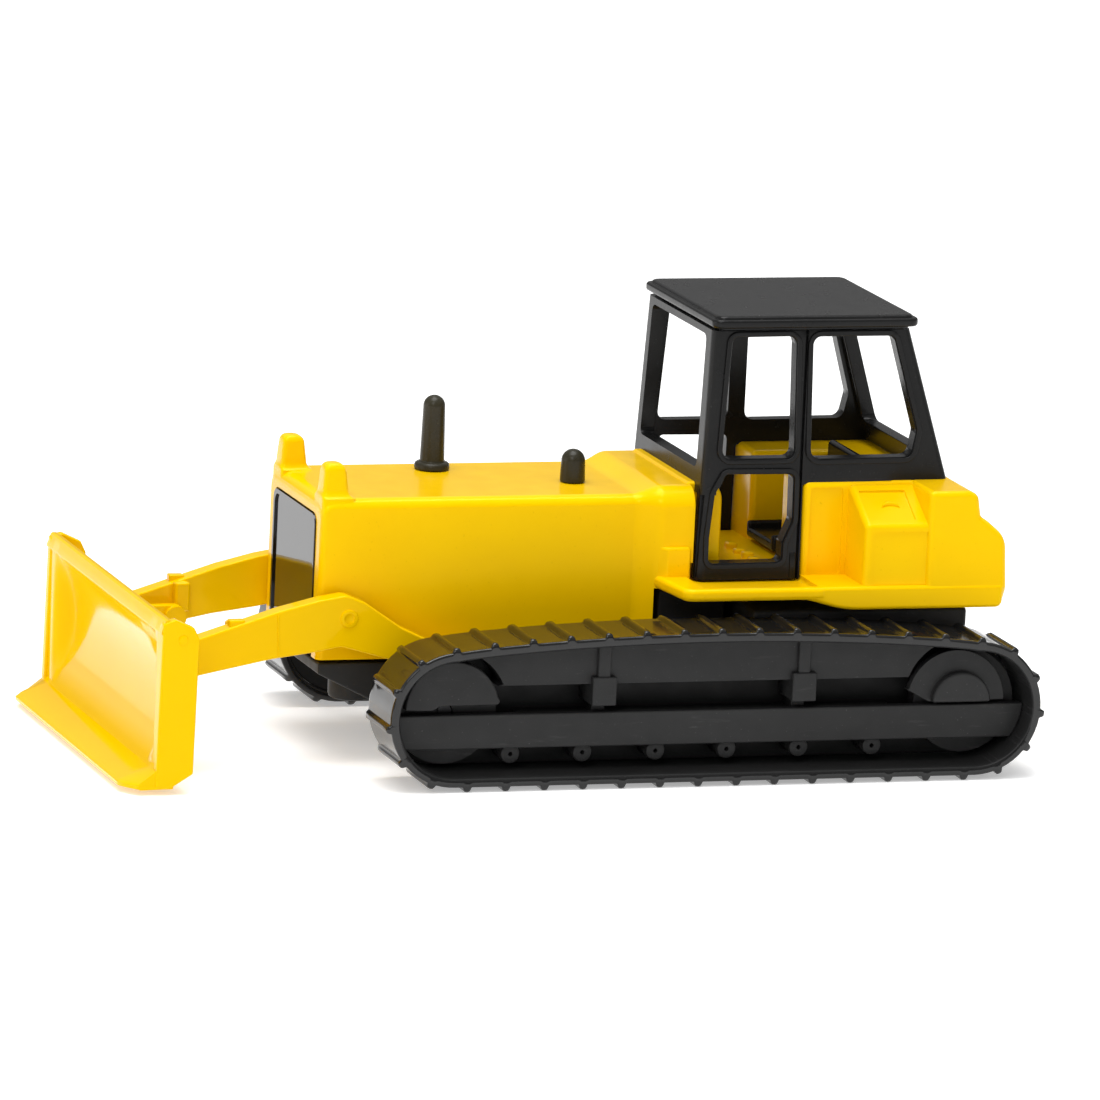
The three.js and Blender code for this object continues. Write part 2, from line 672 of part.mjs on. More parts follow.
function cabFrame() {
  const { top, sill, doorBottom, door, wall, post } = CAB;
  const side = outline([
    [frontAt(top), top],
    [door[0], sill],
    [door[0] - 0.1, doorBottom],
    [door[1], doorBottom],
    [door[1], sill],
    [rearAt(sill), sill],
    [rearAt(top), top],
  ]);
  const shell = alongX(side, -CAB.half, CAB.half);
  const roomSide = outline([
    [frontAt(top) + wall, top + 1],
    [door[0] + wall, sill],
    [door[0] + wall, doorBottom - 1],
    [door[1] + 1, doorBottom - 1],
    [door[1] + 1, sill - 1],
    [rearAt(sill - 1) - wall, sill - 1],
    [rearAt(top + 1) - wall, top + 1],
  ]);
  const room = alongX(roomSide, -CAB.half + wall, CAB.half - wall);
  const head = top - WINDOW.head;
  const doorWindow = outline([
    [frontAt(top) + WINDOW.doorPost, head],
    [door[0] + WINDOW.doorPost, WINDOW.beltTop],
    [WINDOW.bPost[0], WINDOW.beltTop],
    [WINDOW.bPost[0], head],
  ]);
  const foot = WINDOW.lowBottom;
  const lowerWindow = outline([
    [door[0] + LOWER.front, foot + LOWER.heel],
    [door[0] + LOWER.front, WINDOW.beltLow - LOWER.corner],
    [door[0] + LOWER.front + LOWER.corner, WINDOW.beltLow],
    [door[1] - LOWER.rear, WINDOW.beltLow],
    [door[1] - LOWER.rear, foot + LOWER.stepHigh],
    [door[1] - LOWER.step, foot + LOWER.stepLow],
    [door[1] - LOWER.step, foot],
    [door[0] + LOWER.front + LOWER.heel, foot],
  ]);
  const rearSideWindow = outline([
    [WINDOW.bPost[1], head],
    [WINDOW.bPost[1], WINDOW.beltTop],
    [rearAt(WINDOW.beltTop) - WINDOW.footPost, WINDOW.beltTop],
    [rearAt(WINDOW.beltTop + WINDOW.notch) - WINDOW.footPost + LOWER.heel, WINDOW.beltTop + WINDOW.notch],
    [rearAt(head) - WINDOW.rearPost, head],
  ]);
  const reach = CAB.half + 1;
  const windows = [doorWindow, lowerWindow, rearSideWindow].map((shape) => alongX(shape, -reach, reach));
  const screenHalf = CAB.half - WINDOW.pillar;
  const windscreen = block(-screenHalf, screenHalf, door[0] - 2, door[0] + 4, WINDOW.screenSill, head);
  const rearWindow = block(
    -screenHalf, screenHalf, rearAt(top) - 4, rearAt(sill) + 2, WINDOW.beltTop - EPS, head,
  );
  const doorway = block(
    -CAB.half + wall, CAB.half - wall, door[0] - 2, door[1] + 2, doorBottom - 1, sill - GAP,
  );
  const frame = cut(shell, room, ...windows, windscreen, rearWindow, doorway);
  return flared(part("cab_frame", frame, finish.cabBlack));
}

function cabRoof() {
  const { half, front, rear, bottom, top, edge, corner } = ROOF;
  const lower = upright(roundedRect(-half, half, front, rear, corner), bottom, top - edge);
  const inset = edge * 0.8;
  const upper = upright(
    roundedRect(-half + inset, half - inset, front + inset, rear - inset, corner), top - edge - 0.01, top,
  );
  return part("cab_roof", join(lower, upper), finish.cabBlack);
}

// A flat seat standing in the tank block's niche, with a tall straight backrest.
function driverSeat() {
  const { half, front, rear, pan, back, top } = SEAT;
  const profile = outline([
    [front, FLOOR.top + GAP],
    [rear, FLOOR.top + GAP],
    [rear, top],
    [rear - back, top],
    [rear - back, pan],
    [front, pan],
  ]);
  return part("driver_seat", alongX(profile, -half, half), finish.cabBlack);
}

// ---------------------------------------------------------------- chassis

function chassisPlate() {
  const { half, front, rear, bottom, top, gearbox, deck, nose, foot, beamHalf, beamZ, beamsY } = CHASSIS;
  const keel = outline([
    [front, nose.top],
    [nose.rear, nose.low],
    [nose.heel, bottom],
    [rear, bottom],
    [rear, top],
    [front, top],
  ]);
  const pieces = [
    alongX(keel, -half, half),
    block(-half, half, gearbox.front, gearbox.rear, top - EPS, gearbox.top),
    block(-half, half, deck.front, deck.rear, top - EPS, deck.top),
    block(-deck.half, deck.half, deck.front, deck.rear, SCREW.rearBoss, deck.top),
    pillar(foot.radius, SCREW.frontY, foot.low, top - EPS, 28),
    ...beamsY.map(([y0, y1]) => block(-beamHalf, beamHalf, y0, y1, ...beamZ)),
  ];
  const reach = half + 1;
  const seat = bottom + SCREW.seat;
  const holes = [
    barX(AXLE.radius + GAP, -reach, reach, TRACK.frontY, TRACK.axleZ, 16),
    barX(AXLE.radius + GAP, -reach, reach, TRACK.rearY, TRACK.axleZ, 16),
    barX(PIVOT.radius + PIVOT.running, -reach, reach, ARM.pivotY, ARM.pivotZ, 16),
    pillar(SCREW.boss + GAP, SCREW.rearY, SCREW.rearBoss - GAP, deck.top + 1),
  ];
  for (const y of [SCREW.frontY, SCREW.rearY]) {
    holes.push(pillar(SCREW.head + GAP, y, 0, seat));
    holes.push(pillar(SCREW.shank + GAP, y, seat - EPS, deck.top + 1));
  }
  return part("chassis_plate", cut(join(...pieces), ...holes), finish.frameBlack);
}

function chassisScrew(place, y) {
  const low = CHASSIS.bottom + EPS;
  const { head, headHeight, shank, top } = SCREW;
  const profile = [
    [0, low], [head - 0.3, low], [head, low + 0.25], [head, low + headHeight], [shank, low + headHeight],
    [shank, top - 0.4], [0, top],
  ];
  return part(`${place}_chassis_screw`, turned(profile, 0, y, 16), finish.steel);
}

// ---------------------------------------------------------------- blade and arms

const pivotPoint = [0, ARM.pivotY, ARM.pivotZ];

function pinHole(x0, x1) {
  return barX(PIN.radius + PIN.running, x0, x1, LUG.pinY, LUG.pinZ, 16);
}

// A cranked bar from the pivot eye over its knee to the blade's lug.
function pushArm(side) {
  const { inner, outer, pivotY, pivotZ, eye, ring, front, waist, knee, throat, tab } = ARM;
  const shape = new THREE.Shape();
  shape.moveTo(front.y, front.low);
  shape.lineTo(waist.y, waist.low);
  shape.lineTo(knee.y, knee.low);
  shape.lineTo(throat.y, throat.low);
  shape.absarc(pivotY, pivotZ, eye, -Math.PI * 0.6, Math.PI * 0.4);
  shape.lineTo(throat.y, throat.high);
  shape.quadraticCurveTo(knee.y, knee.high + EPS, (knee.y + waist.y) / 2, (knee.high + waist.high) / 2);
  shape.lineTo(waist.y, waist.high);
  shape.lineTo(front.y, front.high);
  const bar = alongX(shape, side.x(inner), side.x(outer), 6);
  const boss = barX(ring.radius, side.x(outer - EPS), side.x(outer + ring.proud), ring.y, ring.z, 20);
  const hole = barX(PIVOT.radius + PIVOT.running, side.x(inner - 1), side.x(outer + 1), pivotY, pivotZ, 20);
  const socket = pinHole(side.x(inner - 1), side.x(PIN.end + EPS));
  const stop = block(side.x(inner + GAP), side.x(outer - GAP), tab.front, tab.rear, tab.top - 1, tab.top);
  const arm = cut(join(bar, boss, stop), hole, socket);
  return part(`${side.name}_push_arm`, arm, finish.bladeYellow, pivotPoint);
}

function pivotShaft() {
  const { radius, half, head, headLength } = PIVOT;
  const bar = barX(radius, -half, half, ARM.pivotY, ARM.pivotZ);
  const heads = [-1, 1].map((sign) =>
    barX(head, sign * (half - headLength), sign * half, ARM.pivotY, ARM.pivotZ),
  );
  return part("arm_pivot_shaft", join(bar, ...heads), finish.steel);
}

// The curved mouldboard, its two side plates, the cutting lip and the two lugs, in one moulding.
function blade() {
  const { half, plate, front, rear, top, bottom, lip, lipRound, brow, fold, hollow, back } = BLADE;
  const board = new THREE.Shape();
  board.moveTo(lip, bottom + lipRound);
  board.lineTo(lip + lipRound, bottom);
  board.lineTo(front + CHEEK.toe, bottom);
  board.lineTo(rear - back, BLADE.backLow);
  board.lineTo(rear - back, BLADE.backHigh);
  board.lineTo(front + CHEEK.brow, top);
  board.lineTo(front + EPS, brow);
  board.quadraticCurveTo(front + EPS + hollow, (brow + fold) / 2, front + EPS, fold);
  board.lineTo(lip + lipRound, bottom + 2 * lipRound);
  const middle = alongX(board, -half + EPS / 2, half - EPS / 2, 8);
  const cheek = outline([
    [front, bottom],
    [front + CHEEK.toe, bottom],
    [rear, bottom + CHEEK.heel],
    [rear, top - CHEEK.shoulder],
    [rear - CHEEK.nape, top - CHEEK.nape],
    [front + CHEEK.brow, top],
    [front, top - CHEEK.chin],
  ]);
  const perSide = [-1, 1].map((sign) => ({
    cheek: alongX(cheek, sign * (half - plate), sign * half),
    lug: block(sign * LUG.inner, sign * LUG.outer, rear - 1, LUG.rear, LUG.low, LUG.high),
    head: barX(BLADE.pinHead, sign * (half - plate), sign * (half + EPS / 2), BLADE.pinY, BLADE.pinZ, 16),
    hole: pinHole(sign * (LUG.inner - 1), sign * (LUG.outer + 1)),
    armGap: block(
      sign * (ARM.inner - GAP), sign * (ARM.outer + GAP), ARM.front.y - GAP, rear + 2,
      ARM.front.low - 1, ARM.front.high + 1,
    ),
  }));
  const added = perSide.flatMap(({ cheek: cheekPlate, lug, head }) => [cheekPlate, lug, head]);
  const removed = perSide.flatMap(({ hole, armGap }) => [hole, armGap]);
  return part("blade", cut(join(middle, ...added), ...removed), finish.bladeYellow, pivotPoint);
}

function bladePin(side) {
  const { radius, start, end, head, headLength } = PIN;
  const bar = barX(radius, side.x(start), side.x(end), LUG.pinY, LUG.pinZ, 16);
  const cap = barX(head, side.x(start - 0.1), side.x(start + headLength), LUG.pinY, LUG.pinZ, 16);
  return part(`${side.name}_blade_pin`, join(bar, cap), finish.bladeYellow, pivotPoint);
}

// ---------------------------------------------------------------- assembly

function group(name, ...members) {
  const result = new THREE.Group();
  result.name = name;
  result.add(...members);
  return result;
}

const sides = [
  { name: "left", x: (value) => value },
  { name: "right", x: (value) => -value },
];

function wheelset(place, y) {
  return group(`${place}_wheelset`, axle(place, y), ...sides.map((side) => wheel(side, place, y)));
}

const bulldozer = group(
  "toy_bulldozer",
  group("body", bodyCasting(), grilleInsert(), exhaustStack(), intakeDome()),
  group("cab", cabFrame(), cabRoof(), driverSeat()),
  group(
    "chassis",
    chassisPlate(), chassisScrew("front", SCREW.frontY), chassisScrew("rear", SCREW.rearY), pivotShaft(),
  ),
  wheelset("front", TRACK.frontY),
  wheelset("rear", TRACK.rearY),
  ...sides.map((side) =>
    group(`${side.name}_track`, trackBelt(side), trackFrame(side), idlerCover(side), sprocketCover(side)),
  ),
  group("blade_lift", blade(), ...sides.flatMap((side) => [pushArm(side), bladePin(side)])),
);

export default bulldozer;
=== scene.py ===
"""Looks of a pocket die-cast toy bulldozer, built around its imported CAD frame.

Shapes are worked out in millimetres of that frame and turned into metres when a piece is finished.
The blade faces -Y, the machine's left side is +X, and the ground is at zero height.
"""

import math

import bmesh
import bpy
from mathutils import Matrix, Vector


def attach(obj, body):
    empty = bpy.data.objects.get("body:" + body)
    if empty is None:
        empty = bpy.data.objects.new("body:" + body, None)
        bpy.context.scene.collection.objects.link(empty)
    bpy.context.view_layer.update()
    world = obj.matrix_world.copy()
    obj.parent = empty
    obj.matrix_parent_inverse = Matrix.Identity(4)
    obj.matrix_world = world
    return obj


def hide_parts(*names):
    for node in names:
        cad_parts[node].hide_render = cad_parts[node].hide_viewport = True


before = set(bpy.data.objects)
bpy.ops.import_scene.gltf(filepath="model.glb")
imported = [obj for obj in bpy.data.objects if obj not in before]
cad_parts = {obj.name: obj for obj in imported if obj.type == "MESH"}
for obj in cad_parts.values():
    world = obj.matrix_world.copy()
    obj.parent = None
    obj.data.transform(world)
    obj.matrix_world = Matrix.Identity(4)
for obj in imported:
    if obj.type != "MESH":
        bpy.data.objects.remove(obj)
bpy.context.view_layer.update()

MM = 0.001
SIDES = {"left": 1, "right": -1}

# ---------------------------------------------------------------- driving dimensions, mm

TRACK = dict(inner=13.6, outer=20.5, front=-12.0, rear=34.25, axle=6.2, radius=5.78, crown=1.22,
             thick=0.8, ridge=0.42, ridge_half=0.44, lip=0.15, shoulder=0.35)
WALL = dict(inner=14.0, outer=15.0, skin_in=17.2, skin=18.2, cover=18.8)
PLATE = dict(front=-7.9, rear=28.5, low=8.6, high=14.0)
BAR = dict(low=3.2, high=6.15, reach=5.0)
BRACKETS = dict(places=(1.4, 19.2), widths=(1.15, 1.1), low=6.8, high=9.3)
ROLLERS = dict(places=(-6.36, 0.01, 6.5, 12.84, 19.29, 25.87), radius=0.82, hole=0.2, z=2.62)
HOOD = dict(half=8.0, front=-20.8, rear=8.6, bottom=8.9, top=22.7, edge=0.9, nose=1.15)
COWL = dict(half=9.3, top=23.5, edge=1.8, start=6.8, full=9.3, rear=11.9, bottom=14.8)
GRILLE = dict(half=6.4, top=21.2, bottom=9.3, corner=1.0, depth=1.0)
FENDER = dict(half=15.35, front=8.6, low=14.8, high=15.9, drop=13.85)
TANK = dict(front=21.42, step=25.4, block=31.0, panel=9.95, half=14.9, block_half=15.15, slant_in=10.3,
            slant_top=23.7, slant_low=21.1, top=24.0, rear=38.35)
NICHE = dict(half=4.0, rear=29.1)
SCREWS = dict(front=-15.2, rear=19.7)
FLOOR_LUMPS = ((-0.6, 1.2, 0.5), (1.6, 0.9, 0.4), (3.9, 1.1, 0.6), (5.5, 0.8, 0.45))
CAB = dict(half=9.15, flare=0.0045, wall=1.3, top=37.0, sill=24.1, foot=15.6, front=12.35, lean=0.55,
           door_rear=21.3, rear_top=30.6, rear_sill=34.45)
ROOF = dict(half=9.85, front=12.7, rear=31.2, low=37.3, high=38.3)
STACK = dict(x=-4.6, y=-7.4, top=29.2, radius=0.95, foot=1.52, height=0.68)
INTAKE = dict(x=1.9, y=3.2, top=25.6, radius=1.03, foot=1.08, height=0.3)
SEAT = dict(half=3.6, front=21.0, rear=28.8, top=25.0)
CHASSIS = dict(half=8.0, low=4.9, high=8.6, front=-20.6, rear=38.0, deck=13.1, deck_front=16.3,
               deck_rear=35.6, deck_low=10.6, deck_top=13.5, beam=13.7)
ARM = dict(inner=8.55, outer=10.35, pivot_y=-7.0, pivot_z=7.0)
BLADE = dict(half=18.8, cheek=1.0, front=-37.5, rear=-34.15, lip=-40.3, hollow=1.7, ribs=(3.4, 6.9, 12.2),
             stiffeners=(-13.2, -4.4, 4.4, 13.2))
LUG = dict(inner=6.6, outer=7.5, rear=-28.3, low=8.5, high=10.8, pin_y=-29.2, pin_z=9.8, hole=0.67)
VIEW = dict(azimuth=72.0, elevation=11.2, roll=2.6, distance=0.9, focal=343.6, sensor=36, near=0.01,
            target=(0, 0.0021, 0.0164))
SKY = dict(horizon=0.9, low=0.15, high=0.62)

# ---------------------------------------------------------------- shape helpers


def mix(a, b, t):
    return a + (b - a) * t


def ease(t):
    t = min(max(t, 0.0), 1.0)
    return t * t * (3 - 2 * t)


def rounded(corners, steps=5):
    """Polygon from (u, v) or (u, v, radius) corners, with each radius worked into an arc."""
    points = []
    for i, corner in enumerate(corners):
        here = Vector(corner[:2])
        if len(corner) < 3:
            points.append(here)
            continue
        back = Vector(corners[i - 1][:2]) - here
        ahead = Vector(corners[(i + 1) % len(corners)][:2]) - here
        room = 0.49 * min(back.length, ahead.length)
        back.normalize()
        ahead.normalize()
        half = math.acos(max(-1, min(1, back.dot(ahead)))) / 2
        reach = min(corner[2] / math.tan(half), room)
        centre = here + (back + ahead).normalized() * (reach / math.cos(half))
        start, end = here + back * reach - centre, here + ahead * reach - centre
        a0 = math.atan2(start.y, start.x)
        turn = (math.atan2(end.y, end.x) - a0 + math.pi) % (2 * math.pi) - math.pi
        for k in range(steps + 1):
            a = a0 + turn * k / steps
            points.append(centre + Vector((math.cos(a), math.sin(a))) * start.length)
    return points


def box2(u0, u1, v0, v1, radius=0.0):
    corners = [(u0, v0), (u1, v0), (u1, v1), (u0, v1)]
    return rounded([c + (radius,) for c in corners]) if radius else [Vector(c) for c in corners]


def arc(cu, cv, radius, start, end, steps=24):
    """Points on an arc from one angle to another, in degrees."""
    angles = [math.radians(mix(start, end, k / steps)) for k in range(steps + 1)]
    return [Vector((cu + radius * math.cos(a), cv + radius * math.sin(a))) for a in angles]


def make(bm, name="piece"):
    bmesh.ops.recalc_face_normals(bm, faces=bm.faces)
    mesh = bpy.data.meshes.new(name)
    bm.to_mesh(mesh)
    bm.free()
    piece = bpy.data.objects.new(name, mesh)
    bpy.context.scene.collection.objects.link(piece)
    return piece


def bevel(bm, width, steps=3, least=28):
    edges = [e for e in bm.edges if len(e.link_faces) == 2 and e.calc_face_angle(0) > math.radians(least)]
    if edges and width > 0:
        bmesh.ops.bevel(bm, geom=edges, offset=width, offset_type="OFFSET", segments=steps, profile=0.5,
                        affect="EDGES", clamp_overlap=True)


def along(axis, u, v, w):
    return {"x": (w, u, v), "y": (u, w, v), "z": (u, v, w)}[axis]


def prism(points, axis, low, high, edge=0.15, steps=3):
    """A side, front or plan outline carried along X, Y or Z, with its edges rounded."""
    low, high = sorted((low, high))
    bm = bmesh.new()
    face = bm.faces.new([bm.verts.new(along(axis, p[0], p[1], low)) for p in points])
    lifted = bmesh.ops.extrude_face_region(bm, geom=[face])["geom"]
    shift = Vector(along(axis, 0, 0, high - low))
    bmesh.ops.translate(bm, vec=shift, verts=[g for g in lifted if isinstance(g, bmesh.types.BMVert)])
    bmesh.ops.recalc_face_normals(bm, faces=bm.faces)
    bevel(bm, edge, steps)
    return make(bm)


def block(x0, x1, y0, y1, z0, z1, edge=0.15, steps=3):
    return prism(box2(min(x0, x1), max(x0, x1), y0, y1), "z", z0, z1, edge, steps)


def loft(rings):
    """Rings of 3-D points skinned in order, with both ends closed."""
    bm = bmesh.new()
    rows = [[bm.verts.new(p) for p in ring] for ring in rings]
    count = len(rows[0])
    for a, b in zip(rows, rows[1:]):
        for i in range(count):
            bm.faces.new((a[i], a[(i + 1) % count], b[(i + 1) % count], b[i]))
    bm.faces.new(rows[0])
    bm.faces.new(rows[-1])
    return make(bm)


def turned(profile, centre, axis="z", segments=48):
    """A turned piece: profile pairs are (radius, distance along the axis), from axis to axis."""
    bm = bmesh.new()
    rows = []
    for radius, d in profile:
        count = 1 if radius < 1e-6 else segments
        ring = []
        for k in range(count):
            a = 2 * math.pi * k / segments
            u, v = radius * math.cos(a), radius * math.sin(a)
            ring.append(bm.verts.new(Vector(centre) + Vector(along(axis, u, v, d))))
        rows.append(ring)
    for a, b in zip(rows, rows[1:]):
        for k in range(segments):
            corners = [a[k % len(a)], a[(k + 1) % len(a)], b[(k + 1) % len(b)], b[k % len(b)]]
            bm.faces.new(list(dict.fromkeys(corners)))
    return make(bm)


def rod(radius, x0, x1, y, z, edge=0.1, segments=40):
    """A round bar along X with rounded ends."""
    x0, x1 = sorted((x0, x1))
    profile = [(0, x0), (radius - edge, x0), (radius - edge * 0.3, x0 + edge * 0.3), (radius, x0 + edge),
               (radius, x1 - edge), (radius - edge * 0.3, x1 - edge * 0.3), (radius - edge, x1), (0, x1)]
    return turned(profile, (0, y, z), "x", segments)


def combine(base, others, how="UNION"):
    for other in others:
        step = base.modifiers.new("combine", "BOOLEAN")
        step.operation, step.solver, step.object = how, "MANIFOLD", other
    solid = bpy.data.meshes.new_from_object(base.evaluated_get(bpy.context.evaluated_depsgraph_get()))
    base.modifiers.clear()
    base.data = solid
    for other in others:
        bpy.data.objects.remove(other)
    return base


def join(*pieces):
    return combine(pieces[0], pieces[1:])


def cut(base, *tools):
    return combine(base, tools, "DIFFERENCE")


def soften(piece, width, steps=2, least=30):
    """Rounds every edge of a piece that was joined and cut with sharp edges."""
    bm = bmesh.new()
    bm.from_mesh(piece.data)
    bmesh.ops.dissolve_limit(bm, angle_limit=math.radians(0.6), verts=bm.verts, edges=bm.edges)
    bevel(bm, width, steps, least)
    bm.to_mesh(piece.data)
    bm.free()
    return piece


def reshape(piece, move):
    for vertex in piece.data.vertices:
        vertex.co = move(vertex.co.copy())
    return piece


def finish(piece, name, material, slot, body, *nodes, crease=34):
    """Scales a piece to metres, shades it and sets it on its body in place of the CAD nodes."""
    piece.name = name
    piece.data.name = name
    piece.data.transform(Matrix.Scale(MM, 4))
    bm = bmesh.new()
    bm.from_mesh(piece.data)
    bmesh.ops.remove_doubles(bm, verts=bm.verts, dist=2e-7)
    for face in bm.faces:
        face.smooth = True
    for e in bm.edges:
        e.smooth = len(e.link_faces) == 2 and e.calc_face_angle(0) < math.radians(crease)
    bm.to_mesh(piece.data)
    bm.free()
    piece.data.materials.clear()
    piece.data.materials.append(material)
    even = piece.modifiers.new("even shading", "WEIGHTED_NORMAL")
    even.keep_sharp = True
    even.weight = 60
    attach(piece, body)
    if nodes:
        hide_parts(*nodes)
    return piece


# ---------------------------------------------------------------- materials


class Surface:
    """A principled material with its own noise-driven colour, roughness and bump."""

    def __init__(self, name):
        self.material = bpy.data.materials.new(name)
        self.material.use_nodes = True
        self.tree = self.material.node_tree
        self.shader = self.tree.nodes["Principled BSDF"]
        self.where = self.tree.nodes.new("ShaderNodeTexCoord").outputs["Object"]
        self.height = None

    def node(self, kind, **inputs):
        made = self.tree.nodes.new(kind)
        for key, value in inputs.items():
            key = key.replace("_", " ")
            if isinstance(value, bpy.types.NodeSocket):
                self.tree.links.new(value, made.inputs[key])
            else:
                made.inputs[key].default_value = value
        return made

    def noise(self, size, detail=2.0, stretch=(1, 1, 1), rough=0.5):
        """Noise whose features are about size millimetres across."""
        scaled = self.node("ShaderNodeMapping", Vector=self.where, Scale=stretch)
        made = self.node("ShaderNodeTexNoise", Vector=scaled.outputs[0], Scale=1 / (size * MM),
                         Detail=detail, Roughness=rough)
        return made.outputs["Fac"]

    def span(self, fac, low, high, start=0.3, end=0.7):
        made = self.node("ShaderNodeMapRange", Value=fac)
        for key, value in (("From Min", start), ("From Max", end), ("To Min", low), ("To Max", high)):
            made.inputs[key].default_value = value
        return made.outputs[0]

    def blend(self, fac, a, b):
        made = self.tree.nodes.new("ShaderNodeMix")
        made.data_type = "RGBA"
        self.tree.links.new(fac, made.inputs[0])
        for socket, value in ((made.inputs[6], a), (made.inputs[7], b)):
            if isinstance(value, bpy.types.NodeSocket):
                self.tree.links.new(value, socket)
            else:
                socket.default_value = (*value, 1)
        return made.outputs[2]

    def link(self, socket, value):
        self.tree.links.new(value, self.shader.inputs[socket])

    def set(self, **values):
        for key, value in values.items():
            self.shader.inputs[key.replace("_", " ")].default_value = value

    def bump(self, height, depth, strength=1.0):
        """Adds relief of about depth millimetres."""
        made = self.node("ShaderNodeBump", Height=height, Strength=strength, Distance=depth * MM)
        if self.height is not None:
            self.tree.links.new(self.height, made.inputs["Normal"])
        self.height = made.outputs[0]
        self.link("Normal", self.height)


def paint(name, colour, deep, gloss):
    """Thick glossy paint over a die casting: slow colour drift, orange peel, a few dust grains."""
    s = Surface(name)
    tone = s.blend(s.span(s.noise(9.0, 3), 0, 1), deep, colour)
    grain = s.span(s.noise(0.22, 1), 0, 1, 0.735, 0.79)
    s.link("Base Color", s.blend(s.span(grain, 0, 0.35, 0, 1), tone, tuple(c * 0.7 for c in deep)))
    s.link("Roughness", s.span(s.noise(2.2, 3), gloss, gloss + 0.1))
    s.set(Specular_IOR_Level=0.35, Specular_Tint=(1.0, 0.8, 0.1, 1), IOR=1.5)
    s.bump(s.noise(1.1, 1), 0.012, 0.5)
    s.bump(grain, 0.02, 0.6)
    return s.material


def plastic(name, colour, deep, rough, spread, texture, relief, scuff=0.0, shade=0.0, **extra):
    """Moulded plastic: flow marks in its colour, uneven gloss, and a few light scuffs.

    Shade is painted shade: it darkens the colour towards black on whatever lies deeper than the track
    frame's outer skin, where shade falls in its recess.
    """
    s = Surface(name)
    tone = s.blend(s.span(s.noise(6.0, 3, (1, 0.35, 1)), 0, 1), deep, colour)
    if scuff:
        marks = s.span(s.noise(0.5, 4, (1, 0.12, 1), 0.65), 0, scuff, 0.63, 0.75)
        pale = tuple(min(1, c * 2.6 + 0.03) for c in colour)
        tone = s.blend(marks, tone, pale)
        dust = s.span(s.noise(0.16, 1), 0, 0.6, 0.74, 0.8)
        tone = s.blend(dust, tone, pale)
    # painted shade: the colour goes towards black the deeper a surface lies behind the track frame's outer
    # skin
    if shade:
        parts = s.node("ShaderNodeSeparateXYZ", Vector=s.where)
        depth = s.tree.nodes.new("ShaderNodeMath")
        depth.operation = "ABSOLUTE"
        s.tree.links.new(parts.outputs["X"], depth.inputs[0])
        deepest, shallowest = (WALL["outer"] + 0.1) * MM, (WALL["skin_in"] - 0.4) * MM
        painted_shade_mask = s.span(depth.outputs[0], shade, 0, deepest, shallowest)
        tone = s.blend(painted_shade_mask, tone, (0.001, 0.001, 0.001))
    s.link("Base Color", tone)
    s.link("Roughness", s.span(s.noise(1.6, 4), rough, rough + spread))
    s.set(**extra)
    s.bump(s.noise(texture, 3), relief, 0.6)
    return s.material


def brushed(name):
    s = Surface(name)
    streaks = s.noise(0.12, 3, (1, 0.05, 1))
    s.link("Base Color", s.blend(streaks, (0.42, 0.42, 0.43), (0.62, 0.62, 0.63)))
    s.link("Roughness", s.span(streaks, 0.22, 0.42))
    s.set(Metallic=1.0)
    s.bump(streaks, 0.006, 0.5)
    return s.material


def grey(value):
    return (value, value, value)


YELLOW = paint("body_paint", (0.91, 0.555, 0.0), (0.88, 0.52, 0.0), gloss=0.14)
LEMON = plastic("blade_plastic", (0.84, 0.51, 0.0), (0.82, 0.49, 0.0), rough=0.045, spread=0.03, texture=1.4,
                relief=0.008, Specular_IOR_Level=0.2, Specular_Tint=(1.0, 0.85, 0.2, 1))
CAB_BLACK = plastic("cab_plastic", grey(0.01), grey(0.007), rough=0.2, spread=0.08, texture=0.35,
                    relief=0.012, scuff=0.1, Specular_IOR_Level=0.17)
GLOSS = plastic("grille_plastic", (0.006, 0.006, 0.007), (0.004, 0.004, 0.005), rough=0.05, spread=0.04,
                texture=1.5, relief=0.006, Specular_IOR_Level=0.6)
SATIN = plastic("undercarriage_plastic", grey(0.025), grey(0.018), rough=0.42, spread=0.14, texture=0.3,
                relief=0.008, scuff=0.2, Specular_IOR_Level=0.2)
# the track frame's plastic: the undercarriage black with painted shade darkening its recess
FRAME_PAINTED_SHADE_PLASTIC = plastic("track_frame_plastic", grey(0.025), grey(0.018), rough=0.42, spread=0.14, texture=0.3,
                   relief=0.008, scuff=0.2, shade=0.85, Specular_IOR_Level=0.2)
BELT_INSIDE = plastic("belt_inside_plastic", grey(0.017), grey(0.012), rough=0.45, spread=0.12, texture=0.5,
                      relief=0.008, scuff=0.1, Specular_IOR_Level=0.2)
BELT = plastic("belt_plastic", grey(0.01), grey(0.006), rough=0.08, spread=0.08, texture=0.8, relief=0.01,
               scuff=0.1, Specular_IOR_Level=0.42)
OLIVE = plastic("stack_plastic", (0.03, 0.027, 0.016), (0.022, 0.02, 0.012), rough=0.22, spread=0.12,
                texture=0.5, relief=0.012, scuff=0.2, Specular_IOR_Level=0.2)
STEEL = brushed("bright_steel")
AXLE_STEEL = plastic("blackened_steel", (0.05, 0.05, 0.052), (0.035, 0.035, 0.036), rough=0.3, spread=0.2,
                     texture=0.3, relief=0.006, scuff=0.1, Metallic=0.8)

# ---------------------------------------------------------------- tracks


